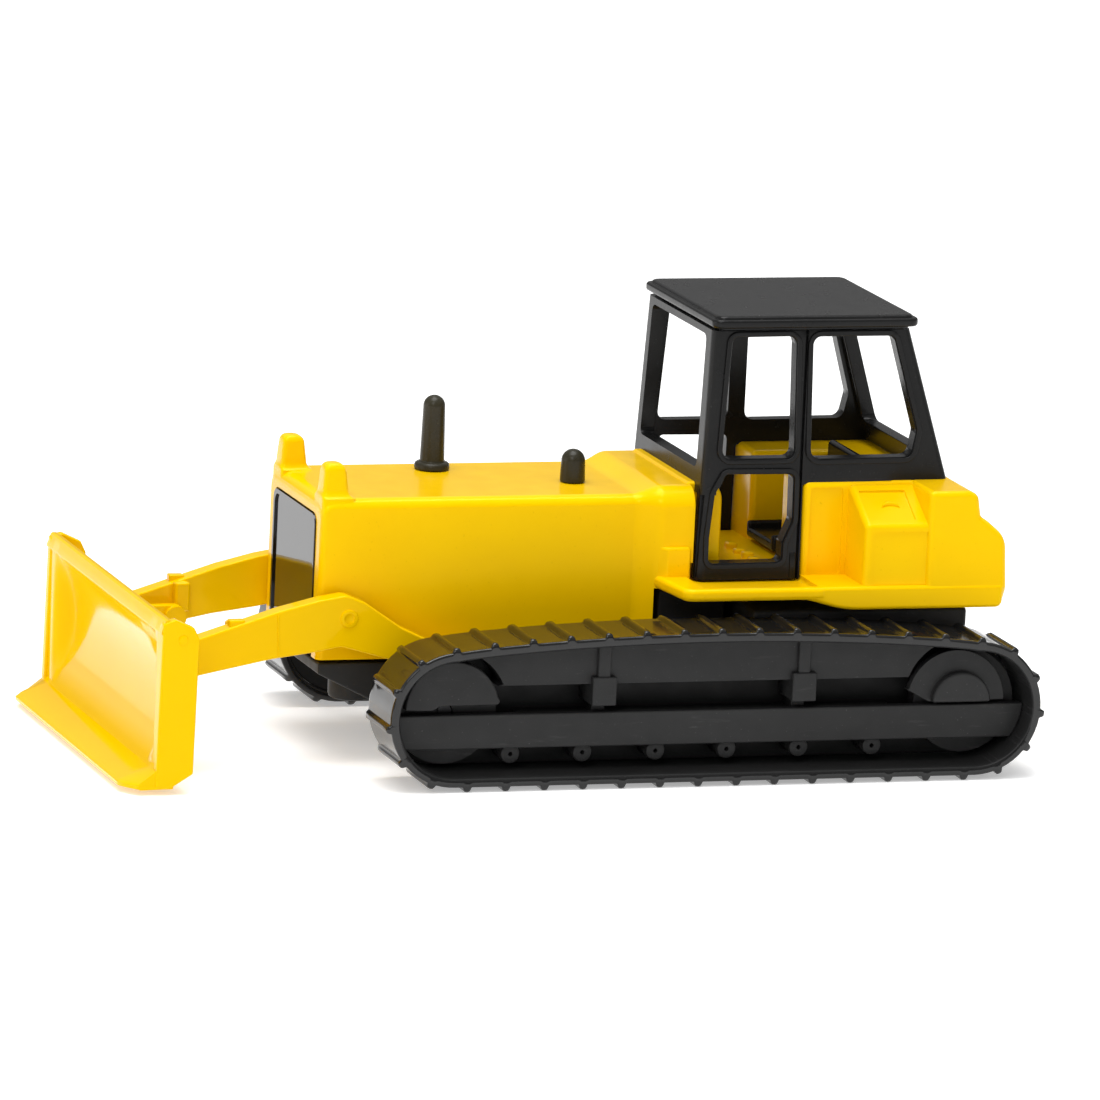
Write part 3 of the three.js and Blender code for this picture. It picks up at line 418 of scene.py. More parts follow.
def path_step(s):
    """Place and outward normal at distance s along the belt's pad face, in Y and Z."""
    run, radius = TRACK["rear"] - TRACK["front"], TRACK["radius"]
    half_turn = math.pi * radius
    s %= 2 * run + 2 * half_turn
    if s < run:
        return Vector((TRACK["front"] + s, TRACK["axle"] - radius)), Vector((0, -1))
    s -= run
    if s < half_turn:
        normal = Vector((math.cos(s / radius - math.pi / 2), math.sin(s / radius - math.pi / 2)))
        return Vector((TRACK["rear"], TRACK["axle"])) + normal * radius, normal
    s -= half_turn
    if s < run:
        t = s / run
        rise = TRACK["crown"] * math.sin(math.pi * t) ** 0.75
        slope = 0.75 * TRACK["crown"] * math.pi / run * math.cos(math.pi * t)
        slope /= max(math.sin(math.pi * t), 0.12) ** 0.25
        normal = Vector((slope, 1)).normalized()
        return Vector((TRACK["rear"] - s, TRACK["axle"] + radius + rise)), normal
    s -= run
    normal = Vector((math.cos(s / radius + math.pi / 2), math.sin(s / radius + math.pi / 2)))
    return Vector((TRACK["front"], TRACK["axle"])) + normal * radius, normal


def grouser_places():
    """Distances of the grousers: even along both runs, a little closer round the ends."""
    run = TRACK["rear"] - TRACK["front"]
    turn = math.pi * TRACK["radius"]
    marks = [(0, 1.15), (13, run - 0.87), (19, run + turn - 0.19), (33, 2 * run + turn + 0.24),
             (39, 2 * run + 2 * turn + 1.15)]
    places = []
    for (i0, s0), (i1, s1) in zip(marks, marks[1:]):
        places += [mix(s0, s1, (i - i0) / (i1 - i0)) for i in range(i0, i1)]
    return places + [marks[-1][1]]


def track_belt(side):
    """One closed belt: pads with rounded cross ridges outside, plain inside, softened rims."""
    half, ridge = TRACK["ridge_half"], TRACK["ridge"]
    profile = [(-1.0, 0.0), (-0.82, 0.1), (-0.66, 0.6), (-0.45, 0.93), (0.0, 1.0), (0.45, 0.93),
               (0.66, 0.6), (0.82, 0.1), (1.0, 0.0)]
    stations = []
    places = grouser_places()
    for here, after in zip(places, places[1:]):
        stations += [(here + u * half, h * ridge) for u, h in profile]
        stations += [(mix(here + half, after - half, k / 4), 0.0) for k in range(1, 4)]
    low, high, thick = TRACK["inner"], TRACK["outer"], TRACK["thick"]
    lip, shoulder = TRACK["lip"], TRACK["shoulder"]
    full_height = low + shoulder + 0.3
    outer = [(low, -lip, 0.0), (low + 0.3 * lip, -0.3 * lip, 0.1), (low + lip, 0, 0.2),
             (low + shoulder, 0, 0.75), (full_height, 0, 1.0)]
    outer += [(mix(full_height, high - shoulder, k / 6), 0, 1.0) for k in range(1, 6)]
    outer += [(high - shoulder, 0, 1.0), (high - lip, 0, 0.95), (high - 0.3 * lip, -0.3 * lip, 0.8),
              (high, -lip, 0.35)]
    inner = [(high, lip - thick, 0), (high - lip, -thick, 0), (low + lip, -thick, 0), (low, lip - thick, 0)]
    section = outer + inner
    bm = bmesh.new()
    rows = []
    for s, rise in stations:
        place, normal = path_step(s)
        row = []
        for x, out, share in section:
            point = place + normal * (out + rise * share)
            row.append(bm.verts.new((side * x, point.x, point.y)))
        rows.append(row)
    for a, b in zip(rows, rows[1:] + rows[:1]):
        for i in range(len(section)):
            j = (i + 1) % len(section)
            bm.faces.new((a[i], a[j], b[j], b[i]))
    return make(bm)


def inside_loop(gap, steps=200):
    """Outline that fills the belt's loop, a gap short of its inner face."""
    inset = TRACK["thick"] + gap
    total = 2 * (TRACK["rear"] - TRACK["front"]) + 2 * math.pi * TRACK["radius"]
    points = []
    for k in range(steps):
        place, normal = path_step(total * k / steps)
        points.append(place - normal * inset)
    return points


def belt_room(low, high):
    """Block that a track frame's parts are trimmed to, so that they stay clear of the belt."""
    return prism(inside_loop(0.12), "x", low, high, 0)


def track_frame(side):
    """Upright wall, upper plate, lower bar, two bracket posts and six roller bosses, in one moulding."""
    x = {key: side * value for key, value in WALL.items()}
    past_skin = x["skin"] + side
    rooted = x["outer"] - side * 0.2
    wall = prism(inside_loop(0.04), "x", x["inner"], x["outer"], 0.03, 1)
    plate = [(PLATE["front"], PLATE["low"]), (PLATE["rear"], PLATE["low"])]
    plate += [tuple(p) for p in arc(33.4, 6.9, 4.95, 160, 106, 14)]
    plate += [(29.9, PLATE["high"]), (-8.5, PLATE["high"])]
    plate += [tuple(p) for p in arc(-11.9, 6.7, 4.95, 72, 24, 14)]
    upper = prism(plate, "x", rooted, x["skin"], 0.12)
    upper = combine(upper, [belt_room(x["inner"], past_skin)], "INTERSECT")
    front_end, rear_end = TRACK["front"] - BAR["reach"], TRACK["rear"] + BAR["reach"]
    bar = prism(box2(front_end, rear_end, BAR["low"], BAR["high"]), "x", x["skin_in"], x["skin"], 0.14)
    bar = combine(bar, [belt_room(x["inner"], past_skin)], "INTERSECT")
    shelf = block(rooted, x["skin_in"] + side * 0.2, -5.6, 27.8, 3.4, 5.9, 0.1)
    pieces = [wall, upper, bar, shelf]
    for y, width in zip(BRACKETS["places"], BRACKETS["widths"]):
        outline = box2(y - width / 2, y + width / 2, 8.0, PLATE["high"])
        post = prism(outline, "x", x["outer"], x["cover"] - side * 0.15, 0.2)
        pieces.append(combine(post, [belt_room(x["inner"], x["cover"])], "INTERSECT"))
        low, high = BRACKETS["low"], BRACKETS["high"]
        pieces.append(block(x["outer"], x["cover"], y - 1.05, y + 1.1, low, high, 0.15))
        pieces.append(block(x["outer"], x["skin_in"], y - 0.6, y + 0.6, 5.5, 7.2, 0.1))
    for y in ROLLERS["places"]:
        boss = rod(ROLLERS["radius"], rooted, x["skin"] - side * 0.45, y, ROLLERS["z"], 0.12, 28)
        hole = rod(ROLLERS["hole"], x["skin"] - side * 1.2, past_skin, y, ROLLERS["z"], 0.02, 14)
        pieces.append(cut(boss, hole))
    return join(*pieces)


def idler_cover(side):
    """Half disc over the front wheel with a short tongue under its rear edge."""
    low, high = side * (WALL["skin_in"] + 0.1), side * WALL["cover"]
    outline = [tuple(p) for p in arc(-11.95, 6.75, 4.12, 180, 14, 36)]
    outline += [(-7.72, 7.45, 0.25), (-7.95, 7.1, 0.15), (-12.9, 7.08, 0.3), (-13.7, 6.68, 0.3)]
    return prism(rounded(outline), "x", low, high, 0.16)


def sprocket_cover(side):
    """Dome over the rear wheel: a bevelled shell with a smaller raised half disc in front."""
    low, mid, high = (side * v for v in (WALL["skin_in"] + 0.1, WALL["skin"] - 0.1, WALL["cover"]))
    shell = [tuple(p) for p in arc(33.1, 6.5, 4.35, 0, 166, 40)]
    shell += [(28.66, 7.5, 0.3), (30.7, 6.42, 0.2)]
    inner = [tuple(p) for p in arc(33.45, 6.42, 2.62, 0, 180, 30)]
    return join(prism(rounded(shell), "x", low, mid, 0.85, 7), prism(inner, "x", low, high, 0.3, 4))


# ---------------------------------------------------------------- body casting


def hood_ring(y):
    """Cross-section of bonnet and cowl: it swells into the cowl and rounds off at the nose."""
    swell = ease((y - COWL["start"]) / (COWL["full"] - COWL["start"]))
    half = mix(HOOD["half"], COWL["half"], swell)
    top = mix(HOOD["top"], COWL["top"], swell)
    edge = mix(HOOD["edge"], COWL["edge"], swell)
    behind = y - HOOD["front"]
    nose = HOOD["nose"]
    if behind < nose:
        top -= nose * (1 - math.sqrt(max(0, 1 - (1 - behind / nose) ** 2)))
    corner = 0.55
    if behind < corner:
        half -= corner * (1 - math.sqrt(max(0, 1 - (1 - behind / corner) ** 2)))
    low = HOOD["bottom"]
    ring = [(-half, low), (half, low)]
    ring += [tuple(p) for p in arc(half - edge, top - edge, edge, 0, 90, 9)]
    ring += [tuple(p) for p in arc(edge - half, top - edge, edge, 90, 180, 9)]
    return [(x, y, z) for x, z in ring]


def bonnet():
    front, rear, nose = HOOD["front"], COWL["rear"], HOOD["nose"]
    places = [front + nose * (1 - math.cos(math.radians(a))) for a in range(0, 91, 9)]
    places += [mix(front + nose, COWL["start"], k / 8) for k in range(1, 9)]
    places += [mix(COWL["start"], COWL["full"], k / 14) for k in range(1, 15)] + [rear]
    shell = loft([hood_ring(y) for y in places])
    under = block(-12, 12, HOOD["rear"], rear + 2, 5, COWL["bottom"], 0)
    half, top, corner = GRILLE["half"], GRILLE["top"], GRILLE["corner"]
    opening = rounded([(-half, 5), (half, 5), (half, top, corner), (-half, top, corner)])
    mouth = prism(opening, "y", front - 2, front + GRILLE["depth"], 0)
    room = block(-6.7, 6.7, front + 2.3, HOOD["rear"] - 1.4, 5, 21.4, 0)
    return cut(shell, under, mouth, room)


def horn(x):
    """Tapered lamp stub that flares out where it meets the bonnet's front corner."""
    front, rear, top, base, round_off = -20.55, -18.35, 25.65, 22.7, 0.75
    levels = [(21.3, 0.4)]
    for k in range(9):
        z = base + 0.9 * k / 8
        levels.append((z, 0.4 * math.exp(-4 * k / 8)))
    for k in range(9):
        a = math.radians(90 * k / 8)
        levels.append((top - round_off * (1 - math.sin(a)), -0.1 - 0.5 * (1 - math.cos(a))))
    rings = []
    for z, grow in levels:
        half = 1.04 + grow
        y0, y1 = max(front - grow, HOOD["front"] + 0.1), rear + grow * 1.5
        plan = rounded([(u, v, 0.4) for u, v in box2(x - half, x + half, y0, y1)], 4)
        rings.append([(p.x, p.y, z) for p in plan])
    return loft(rings)


def pod(side):
    """Step beside the cab's foot, with a chamfered front corner."""
    plan = rounded([(side * 7.0, 11.6), (side * 7.0, 8.6), (side * 8.95, 8.6, 0.3), (side * 9.8, 9.5, 0.3),
                    (side * 9.8, 11.6)])
    return prism(plan, "z", 14.9, 18.45, 0.32, 4)


def tank_side(side):
    """Tank beside the cab's rear: slanted lid with a recessed hatch, a finger ridge and a sunk face."""
    inner, half = TANK["panel"] - 1.5, TANK["half"]
    slant_in, slant_top = TANK["slant_in"], TANK["slant_top"]
    section = rounded([(side * inner, 14.9), (side * half, 14.9), (side * half, TANK["slant_low"], 0.5),
                       (side * slant_in, slant_top, 0.5), (side * inner, slant_top)])
    tank = prism(section, "y", TANK["step"], TANK["block"] + 0.5, 0.5, 5)
    run = Vector((half - slant_in, TANK["slant_low"] - slant_top))
    slope = run.normalized()
    out = Vector((-slope.y, slope.x))
    start = Vector((slant_in, slant_top))
    lid = []
    for t, lift in ((0.13, 1), (0.86, 1), (0.86, -0.2), (0.13, -0.2)):
        point = start + run * t + out * lift
        lid.append((side * point.x, point.y))
    tank = cut(tank, prism(lid, "y", 25.95, 30.1, 0.1, 2))
    sunk = box2(26.1, TANK["block"] + 1, 15.85, 20.5, 0.4)
    tank = cut(tank, prism(sunk, "x", side * (half - 0.13), side * (half + 1), 0))
    seat = start + run * 0.48 - out * 0.16
    ridge = finger_ridge(side, seat, slope, out)
    return join(tank, ridge)


def finger_ridge(side, seat, slope, out):
    """A short crescent on the hatch."""
    bm = bmesh.new()
    rows = []
    for k in range(13):
        a = math.radians(mix(20, 160, k / 12))
        fat = 0.24 * math.sqrt(max(0.05, 1 - (2 * k / 12 - 1) ** 2))
        across = Vector((side * slope.x, 0, slope.y))
        up = Vector((side * out.x, 0, out.y))
        centre = Vector((side * seat.x, 28.35 + 0.85 * math.cos(a), seat.y))
        centre += across * (0.42 - 0.7 * math.sin(a))
        rows.append([bm.verts.new(centre + (across * math.cos(b) + up * math.sin(b)) * fat)
                     for b in (2 * math.pi * j / 10 for j in range(10))])
    for a, b in zip(rows, rows[1:]):
        for j in range(10):
            bm.faces.new((a[j], a[(j + 1) % 10], b[(j + 1) % 10], b[j]))
    bm.faces.new(rows[0])
    bm.faces.new(rows[-1])
    return make(bm)


def body_casting():
    half, high, front = FENDER["half"], FENDER["high"], FENDER["front"]
    plan = rounded([(-half, front + 0.8, 1.1), (-9.0, front, 1.0), (9.0, front, 1.0),
                    (half, front + 0.8, 1.1), (half, 22), (-half, 22)])
    walkway = prism(plan, "z", FENDER["low"], high, 0.4, 4)
    skirt_side = rounded([(19.5, FENDER["low"]), (20.3, FENDER["low"], 9.0), (23.8, FENDER["drop"], 9.0),
                          (37.95, FENDER["drop"], 0.6), (38.1, high), (19.5, high)], 8)
    skirt = prism(skirt_side, "x", -half + 0.1, half - 0.1, 0.34, 4)
    panel, niche = TANK["panel"], NICHE["half"]
    shoulder = box2(TANK["front"], TANK["block"] + 1, 14.9, TANK["top"])
    cores = [prism(shoulder, "x", niche, panel, 0.55, 5), prism(shoulder, "x", -niche, -panel, 0.55, 5),
             prism(box2(NICHE["rear"], TANK["block"] + 1, 14.9, TANK["top"]), "x", -panel, panel, 0.35, 4)]
    rear_side = rounded([(TANK["block"], 14.0), (37.95, 13.9, 0.7), (TANK["rear"], 15.5, 1.5),
                         (38.1, 19.9, 2.2), (36.5, 21.25, 0.9), (35.75, 21.75, 0.5), (35.45, 23.6, 1.0),
                         (34.7, TANK["top"], 0.9), (TANK["block"], TANK["top"])], 8)
    rear = prism(rear_side, "x", -TANK["block_half"], TANK["block_half"], 0.6, 5)
    floor = block(-8.2, 8.2, 11.7, 22.0, 14.9, 16.2, 0.1)
    niche_floor = block(-niche - 0.5, niche + 0.5, 21.5, 29.6, 14.9, 16.25, 0.1)
    dash_side = rounded([(11.6, 14.9), (14.9, 14.9), (14.9, 23.7, 2.0), (11.6, 23.7)], 8)
    dash = prism(dash_side, "x", -7.6, 7.6, 0.3, 3)
    pieces = [bonnet(), horn(-6.35), horn(6.35), walkway, skirt, *cores, rear, floor, niche_floor, dash]
    pieces += [tank_side(1), tank_side(-1)]
    for x, width, tall in FLOOR_LUMPS:
        pieces.append(block(x - width / 2, x + width / 2, 18.2, 19.1, 16.0, 16.2 + tall, 0.2))
    casting = join(*pieces)
    tools = []
    for side in (1, -1):
        recess = box2(22.05, 24.95, 15.95, 23.45, 0.35)
        tools.append(prism(recess, "x", side * (TANK["panel"] - 0.16), side * (TANK["panel"] + 2), 0))
        tools.append(block(side * 8.2, side * 14.75, 11.2, TANK["front"], 15.42, 17.0, 0.25))
    tools.append(block(-11.6, 11.6, 30.6, 36.4, 5, 18.6, 0.3))
    tools.append(block(-8.4, 8.4, 30.6, 33.5, 5, 22.4, 0.3))
    casting = cut(casting, *tools)
    bosses = []
    for y, low, top in ((SCREWS["front"], 8.9, 22.0), (SCREWS["rear"], 10.6, 15.5)):
        profile = [(0, low + 3), (0.75, low + 3), (0.75, low), (1.6, low), (1.7, low + 0.1), (1.7, top),
                   (0, top)]
        bosses.append(turned(profile, (0, y, 0)))
    return join(casting, pod(1), pod(-1), *bosses)


def grille_outline(inset):
    half, top, low = GRILLE["half"] - 0.12, GRILLE["top"] - 0.12, GRILLE["bottom"]
    return rounded([(inset - half, low + inset, 0.3), (half - inset, low + inset, 0.3),
                    (half - inset, top - inset, 0.9), (inset - half, top - inset, 0.9)], 8)


def grille():
    """Gloss panel with a raised frame, set into the bonnet's mouth."""
    front = HOOD["front"]
    frame_ring = cut(prism(grille_outline(0), "y", front - 0.12, front + 0.7, 0),
                     prism(grille_outline(0.38), "y", front - 1, front + 2, 0))
    soften(frame_ring, 0.09, 2)
    return join(prism(grille_outline(0.2), "y", front + 0.05, front + 0.65, 0), frame_ring)


def stack(x, y, top, radius, foot, height):
    """Round-topped pipe on a flange, or on nothing when foot is no wider than the pipe."""
    base = HOOD["top"] + 0.05
    dome = [(radius * math.cos(math.radians(a)), top - radius + radius * math.sin(math.radians(a)))
            for a in range(0, 91, 9)]
    dome[-1] = (0, top)
    profile = [(0, base - 1.6), (0.6, base - 1.6), (0.6, base)]
    if foot > radius * 1.2:
        wide = radius * 1.12
        profile += [(foot - 0.08, base), (foot, base + 0.1), (foot, base + height * 0.55),
                    (foot - 0.07, base + height * 0.8), (foot - 0.22, base + height * 0.95),
                    (wide + 0.1, base + height), (wide, base + height + 0.15)]
    else:
        profile += [(foot - 0.07, base), (foot, base + 0.08), (foot, base + 0.3)]
    return turned(profile + dome, (x, y, 0))


# ---------------------------------------------------------------- cab


def flare(co):
    drop = max(CAB["top"] - co.z, 0)
    co.x *= 1 + CAB["flare"] * drop
    return co


def cab_front(z):
    return mix(CAB["front"], CAB["front"] + CAB["lean"], (z - CAB["sill"]) / (CAB["top"] - CAB["sill"]))


def cab_rear(z):
    return mix(CAB["rear_sill"], CAB["rear_top"], (z - CAB["sill"]) / (CAB["top"] - CAB["sill"]))


DOOR_WINDOW = [(14.6, 36.45, 0.5), (20.3, 36.5, 0.7), (20.42, 26.05, 0.75), (13.95, 26.05, 0.75)]
REAR_WINDOW = [(21.85, 36.45, 0.7), (29.05, 36.45, 0.55), (31.4, 28.2, 0.9), (30.95, 26.0, 0.8),
               (21.95, 25.95, 0.8)]
LOW_WINDOW = [(14.4, 24.7, 0.4), (20.45, 24.65, 0.4), (20.45, 20.7, 0.6), (19.6, 18.8, 0.5),
              (19.55, 17.1, 0.5), (13.05, 17.05, 0.45), (13.05, 19.3, 0.5), (13.45, 23.0, 0.6)]
DOOR_GAPS = ([(13.62, 37.5), (12.62, 25.2), (11.95, 15.5)], [(21.28, 37.5), (21.12, 25.2), (21.02, 15.5)])


def grown(corners, by):
    """The same window outline, moved outwards by a distance."""
    loop = [Vector(c[:2]) for c in corners]
    result = []
    for i, here in enumerate(loop):
        a = (here - loop[i - 1]).normalized()
        b = (loop[(i + 1) % len(loop)] - here).normalized()
        na, nb = Vector((a.y, -a.x)), Vector((b.y, -b.x))
        area = sum(p.x * q.y - q.x * p.y for p, q in zip(loop, loop[1:] + loop[:1]))
        sign = 1 if area > 0 else -1
        offset = (na + nb) * (sign * by / (1 + na.dot(nb)))
        result.append((here.x + offset.x, here.y + offset.y, corners[i][2] + by))
    return result


def cab_side(side):
    """One side wall with its door's gap lines, and apart from it the raised rim round each window."""
    top, sill, foot = CAB["top"], CAB["sill"], CAB["foot"]
    half, wall = CAB["half"], CAB["wall"]
    outline = rounded([(cab_front(top), top), (CAB["front"], sill), (CAB["front"] - 0.75, foot),
                       (CAB["door_rear"], foot), (CAB["door_rear"], sill - 0.35, 0.2), (31.1, sill - 0.1),
                       (31.8, 23.6), (CAB["rear_sill"] + 0.15, 23.5), (cab_rear(top), top)])
    inner, outer = side * (half - wall), side * half
    panel = prism(outline, "x", inner, outer, 0)
    windows = (DOOR_WINDOW, REAR_WINDOW, LOW_WINDOW)
    holes = [prism(rounded(w, 7), "x", side * (half - 3), side * (half + 1), 0) for w in windows]
    gaps = []
    for line in DOOR_GAPS:
        strip = [(y - 0.13, z) for y, z in line] + [(y + 0.13, z) for y, z in reversed(line)]
        gaps.append(prism(strip, "x", outer - side * 0.5, outer + side, 0))
    panel = cut(panel, *holes, *gaps)
    soften(panel, 0.1, 2)
    rims = []
    for w in windows:
        ring = prism(rounded(grown(w, 0.5), 7), "x", outer - side * 0.1, outer + side * 0.26, 0)
        ring = cut(ring, prism(rounded(grown(w, 0.08), 7), "x", outer - side, outer + side, 0))
        rims.append(soften(ring, 0.11, 3))
    latch = block(outer - side * 0.1, outer + side * 0.12, 20.35, 20.9, foot, 17.9, 0.1)
    return panel, rims + [latch]


def cab_envelope():
    """What rounds the cab's upright corners: a leaning column with a rounded plan."""
    rings = []
    for z in (CAB["foot"] - 0.5, CAB["sill"], CAB["top"] + 0.5):
        half = CAB["half"]
        plan = rounded([(-half, cab_front(z), 0.75), (half, cab_front(z), 0.75), (half, cab_rear(z), 0.6),
                        (-half, cab_rear(z), 0.6)], 6)
        rings.append([(p.x, p.y, z) for p in plan])
    return loft(rings)


def lean_with_front(co):
    return Vector((co.x, co.y + (cab_front(co.z) - CAB["front"]) + 0.33, co.z))


def lean_with_rear(co):
    return Vector((co.x, co.y + cab_rear(co.z) - 0.02, co.z))


def cab_frame():
    """Two side walls tied by the windscreen and rear window frames."""
    top, half = CAB["top"], CAB["half"]
    left, left_rims = cab_side(1)
    right, right_rims = cab_side(-1)
    screen = [(-half, 22.9), (half, 22.9), (half, top), (-half, top)]
    opening = rounded([(-half + 1.6, 24.95, 0.6), (half - 2.0, 24.95, 0.6), (half - 2.0, 36.4, 0.6),
                       (-half + 1.6, 36.4, 0.6)])
    panel = cut(prism(screen, "y", 12.0, 13.3, 0), prism(opening, "y", 10, 16, 0))
    reshape(soften(panel, 0.14, 2), lean_with_front)
    back = [(-half, 24.1), (half, 24.1), (half, top), (-half, top)]
    view = rounded([(-half + 2.0, 25.95, 0.6), (half - 2.0, 25.95, 0.6), (half - 2.0, 36.4, 0.6),
                    (-half + 2.0, 36.4, 0.6)])
    rear = cut(prism(back, "y", -1.3, 0.0, 0), prism(view, "y", -4, 3, 0))
    reshape(soften(rear, 0.14, 2), lean_with_rear)
    walls = combine(join(left, right, panel, rear), [cab_envelope()], "INTERSECT")
    return reshape(join(walls, *left_rims, *right_rims), flare)


def roof_plan(inset):
    half, front, rear = ROOF["half"] - inset, ROOF["front"] + inset, ROOF["rear"] - inset
    return box2(-half, half, front, rear, 0.9)


def cab_roof():
    low, high = ROOF["low"], ROOF["high"]
    slab = prism(roof_plan(0), "z", low, high - 0.25, 0.24, 4)
    crown = prism(roof_plan(0.35), "z", low + 0.2, high, 0.3, 4)
    under = prism(roof_plan(0.6), "z", low - 0.25, low + 0.2, 0.1)
    return join(slab, crown, under)


def driver_seat():
    """Shallow tray with raised side rims and a tall straight backrest."""
    half, front, rear, top = SEAT["half"], SEAT["front"], SEAT["rear"], SEAT["top"]
    pan = block(-half, half, front, rear, 16.6, 17.5, 0.3)
    rims = []
    for side in (1, -1):
        rims.append(block(side * (half - 0.7), side * half, front, rear - 0.4, 16.8, 18.05, 0.28))
    outline = rounded([(27.8, 16.7), (28.75, 16.7), (28.95, top, 0.4), (28.1, top, 0.35)])
    back = prism(outline, "x", -half, half, 0.28)
    return join(pan, *rims, back)


# ---------------------------------------------------------------- chassis


def chassis():
    """Belly pan rising towards the front, a deck under the casting's rear half and the cross beams."""
    half, low, high, front, rear = (CHASSIS[key] for key in ("half", "low", "high", "front", "rear"))
    deck, deck_front, deck_rear = CHASSIS["deck"], CHASSIS["deck_front"], CHASSIS["deck_rear"]
    deck_low, deck_top, beam = CHASSIS["deck_low"], CHASSIS["deck_top"], CHASSIS["beam"]
    keel = rounded([(front, 7.7, 0.25), (-16.4, 5.6, 1.5), (-14.9, low, 1.0), (rear, low, 0.4),
                    (rear, high, 0.3), (front, high, 0.2)])
    pieces = [prism(keel, "x", -half, half, 0.18), block(-half, half, 9.4, 15.4, 8.0, 14.4, 0.2),
              block(-half, half, deck_front, deck_rear, 8.0, deck_top, 0.2),
              block(-deck, deck, deck_front, deck_rear, deck_low, deck_top, 0.35)]
    pieces += [block(-beam, beam, y0, y1, 6.2, 8.4, 0.15) for y0, y1 in ((3.0, 7.0), (24.0, 28.0))]
    foot = [(0, 3.9), (1.65, 3.9), (1.9, 4.0), (2.0, 4.3), (2.0, 7.5), (0, 7.5)]
    pieces.append(turned(foot, (0, SCREWS["front"], 0)))
    plate = join(*pieces)
    holes = [rod(0.9, -9, 9, y, 6.2, 0.05) for y in (TRACK["front"], TRACK["rear"])]
    holes.append(rod(0.85, -9, 9, ARM["pivot_y"], ARM["pivot_z"], 0.05))
    for y in SCREWS.values():
        sunk = [(0, 3), (1.6, 3), (1.6, 6.0), (0.85, 6.0), (0.85, 14), (0, 14)]
        holes.append(turned(sunk, (0, y, 0)))
    holes.append(turned([(0, 10.3), (2.0, 10.3), (2.0, 14), (0, 14)], (0, SCREWS["rear"], 0)))
    for y0, y1 in ((-4.5, 1.5), (9, 17), (22.5, 31)):
        holes.append(block(-6.2, 6.2, y0, y1, 3, 5.6, 0.15))
    return cut(plate, *holes)


# ---------------------------------------------------------------- blade and arms


def blade_row(x):
    """Section of the mouldboard at one place across the blade: hollow face, flat flanges at the ends."""
    flange = ease((abs(x) - 15.0) / 1.6)
    front, lip = BLADE["front"], BLADE["lip"]
    face = []
    for k in range(15):
        t = k / 14
        z = mix(13.55, 2.35, t)
        hollow = BLADE["hollow"] * math.sin(math.pi * min(1, t * 1.02)) ** 0.8
        face.append((front + 0.2 + mix(hollow, 0.05, flange), z))
    outline = [(-36.35, 14.55), (-36.6, 14.85), (-36.95, 14.9), (-37.15, 14.78), (front + 0.02, 13.85),
               (front + 0.05, 13.65)]
    outline += face
    outline += [(front, 2.05), (lip + 0.35, 1.12), (lip, 0.85), (lip + 0.05, 0.55), (lip + 0.3, 0.45),
                (-36.0, 0.5), (-34.95, 4.6), (-34.75, 9.5), (-35.2, 12.0)]
    return outline


def blade():
    half, cheek = BLADE["half"], BLADE["cheek"]
    span = half - 0.15
    flange_out, flange_in = 16.8, 14.8
    xs = [-span, -17.6] + [mix(-flange_out, -flange_in, k / 8) for k in range(9)]
    xs += [mix(-flange_in, flange_in, k / 10) for k in range(1, 10)]
    xs += [mix(flange_in, flange_out, k / 8) for k in range(9)] + [17.6, span]
    rings = []
    for x in xs:
        ring = []
        for y, z in blade_row(x):
            trim = max(0, (abs(x) - 17.0)) * 0.75 if y < BLADE["front"] - 0.6 else 0
            ring.append((x, y + trim, z))
        rings.append(ring)
    board = loft(rings)
    plate = rounded([(-37.55, 0.5, 0.3), (-36.3, 0.5, 0.6), (-34.3, 1.75, 0.3), (BLADE["rear"], 13.2, 0.3),
                     (-34.65, 14.2, 0.3), (-36.3, 14.95, 0.4), (-37.35, 14.6, 0.35)])
    pieces = [board]
    for side in (1, -1):
        pieces.append(prism(plate, "x", side * (half - cheek), side * half, 0.2, 4))
        pieces.append(rod(0.42, side * (half - cheek), side * (half + 0.1), -35.6, 13.2, 0.08, 28))
        ear = rounded([(-35.6, LUG["low"], 0.3), (LUG["rear"], LUG["low"], 0.8),
                       (LUG["rear"], LUG["high"], 0.8), (-35.6, LUG["high"], 0.3)])
        pieces.append(prism(ear, "x", side * LUG["inner"], side * LUG["outer"], 0.18))
    for z in BLADE["ribs"]:
        pieces.append(prism(box2(-35.3, -34.35, z - 0.35, z + 0.35), "x", 1 - half, half - 1, 0.2))
    for x in BLADE["stiffeners"]:
        pieces.append(prism(box2(-35.3, -34.4, 2.6, 12.4), "x", x - 0.35, x + 0.35, 0.15))
    whole = join(*pieces)
    tools = []
    for side in (1, -1):
        tools.append(block(side * 8.25, side * 10.65, -34.75, -33.0, 7.0, 11.6, 0.1))
        tools.append(rod(LUG["hole"], side * 5.9, side * 9.2, LUG["pin_y"], LUG["pin_z"], 0.02))
    return cut(whole, *tools)


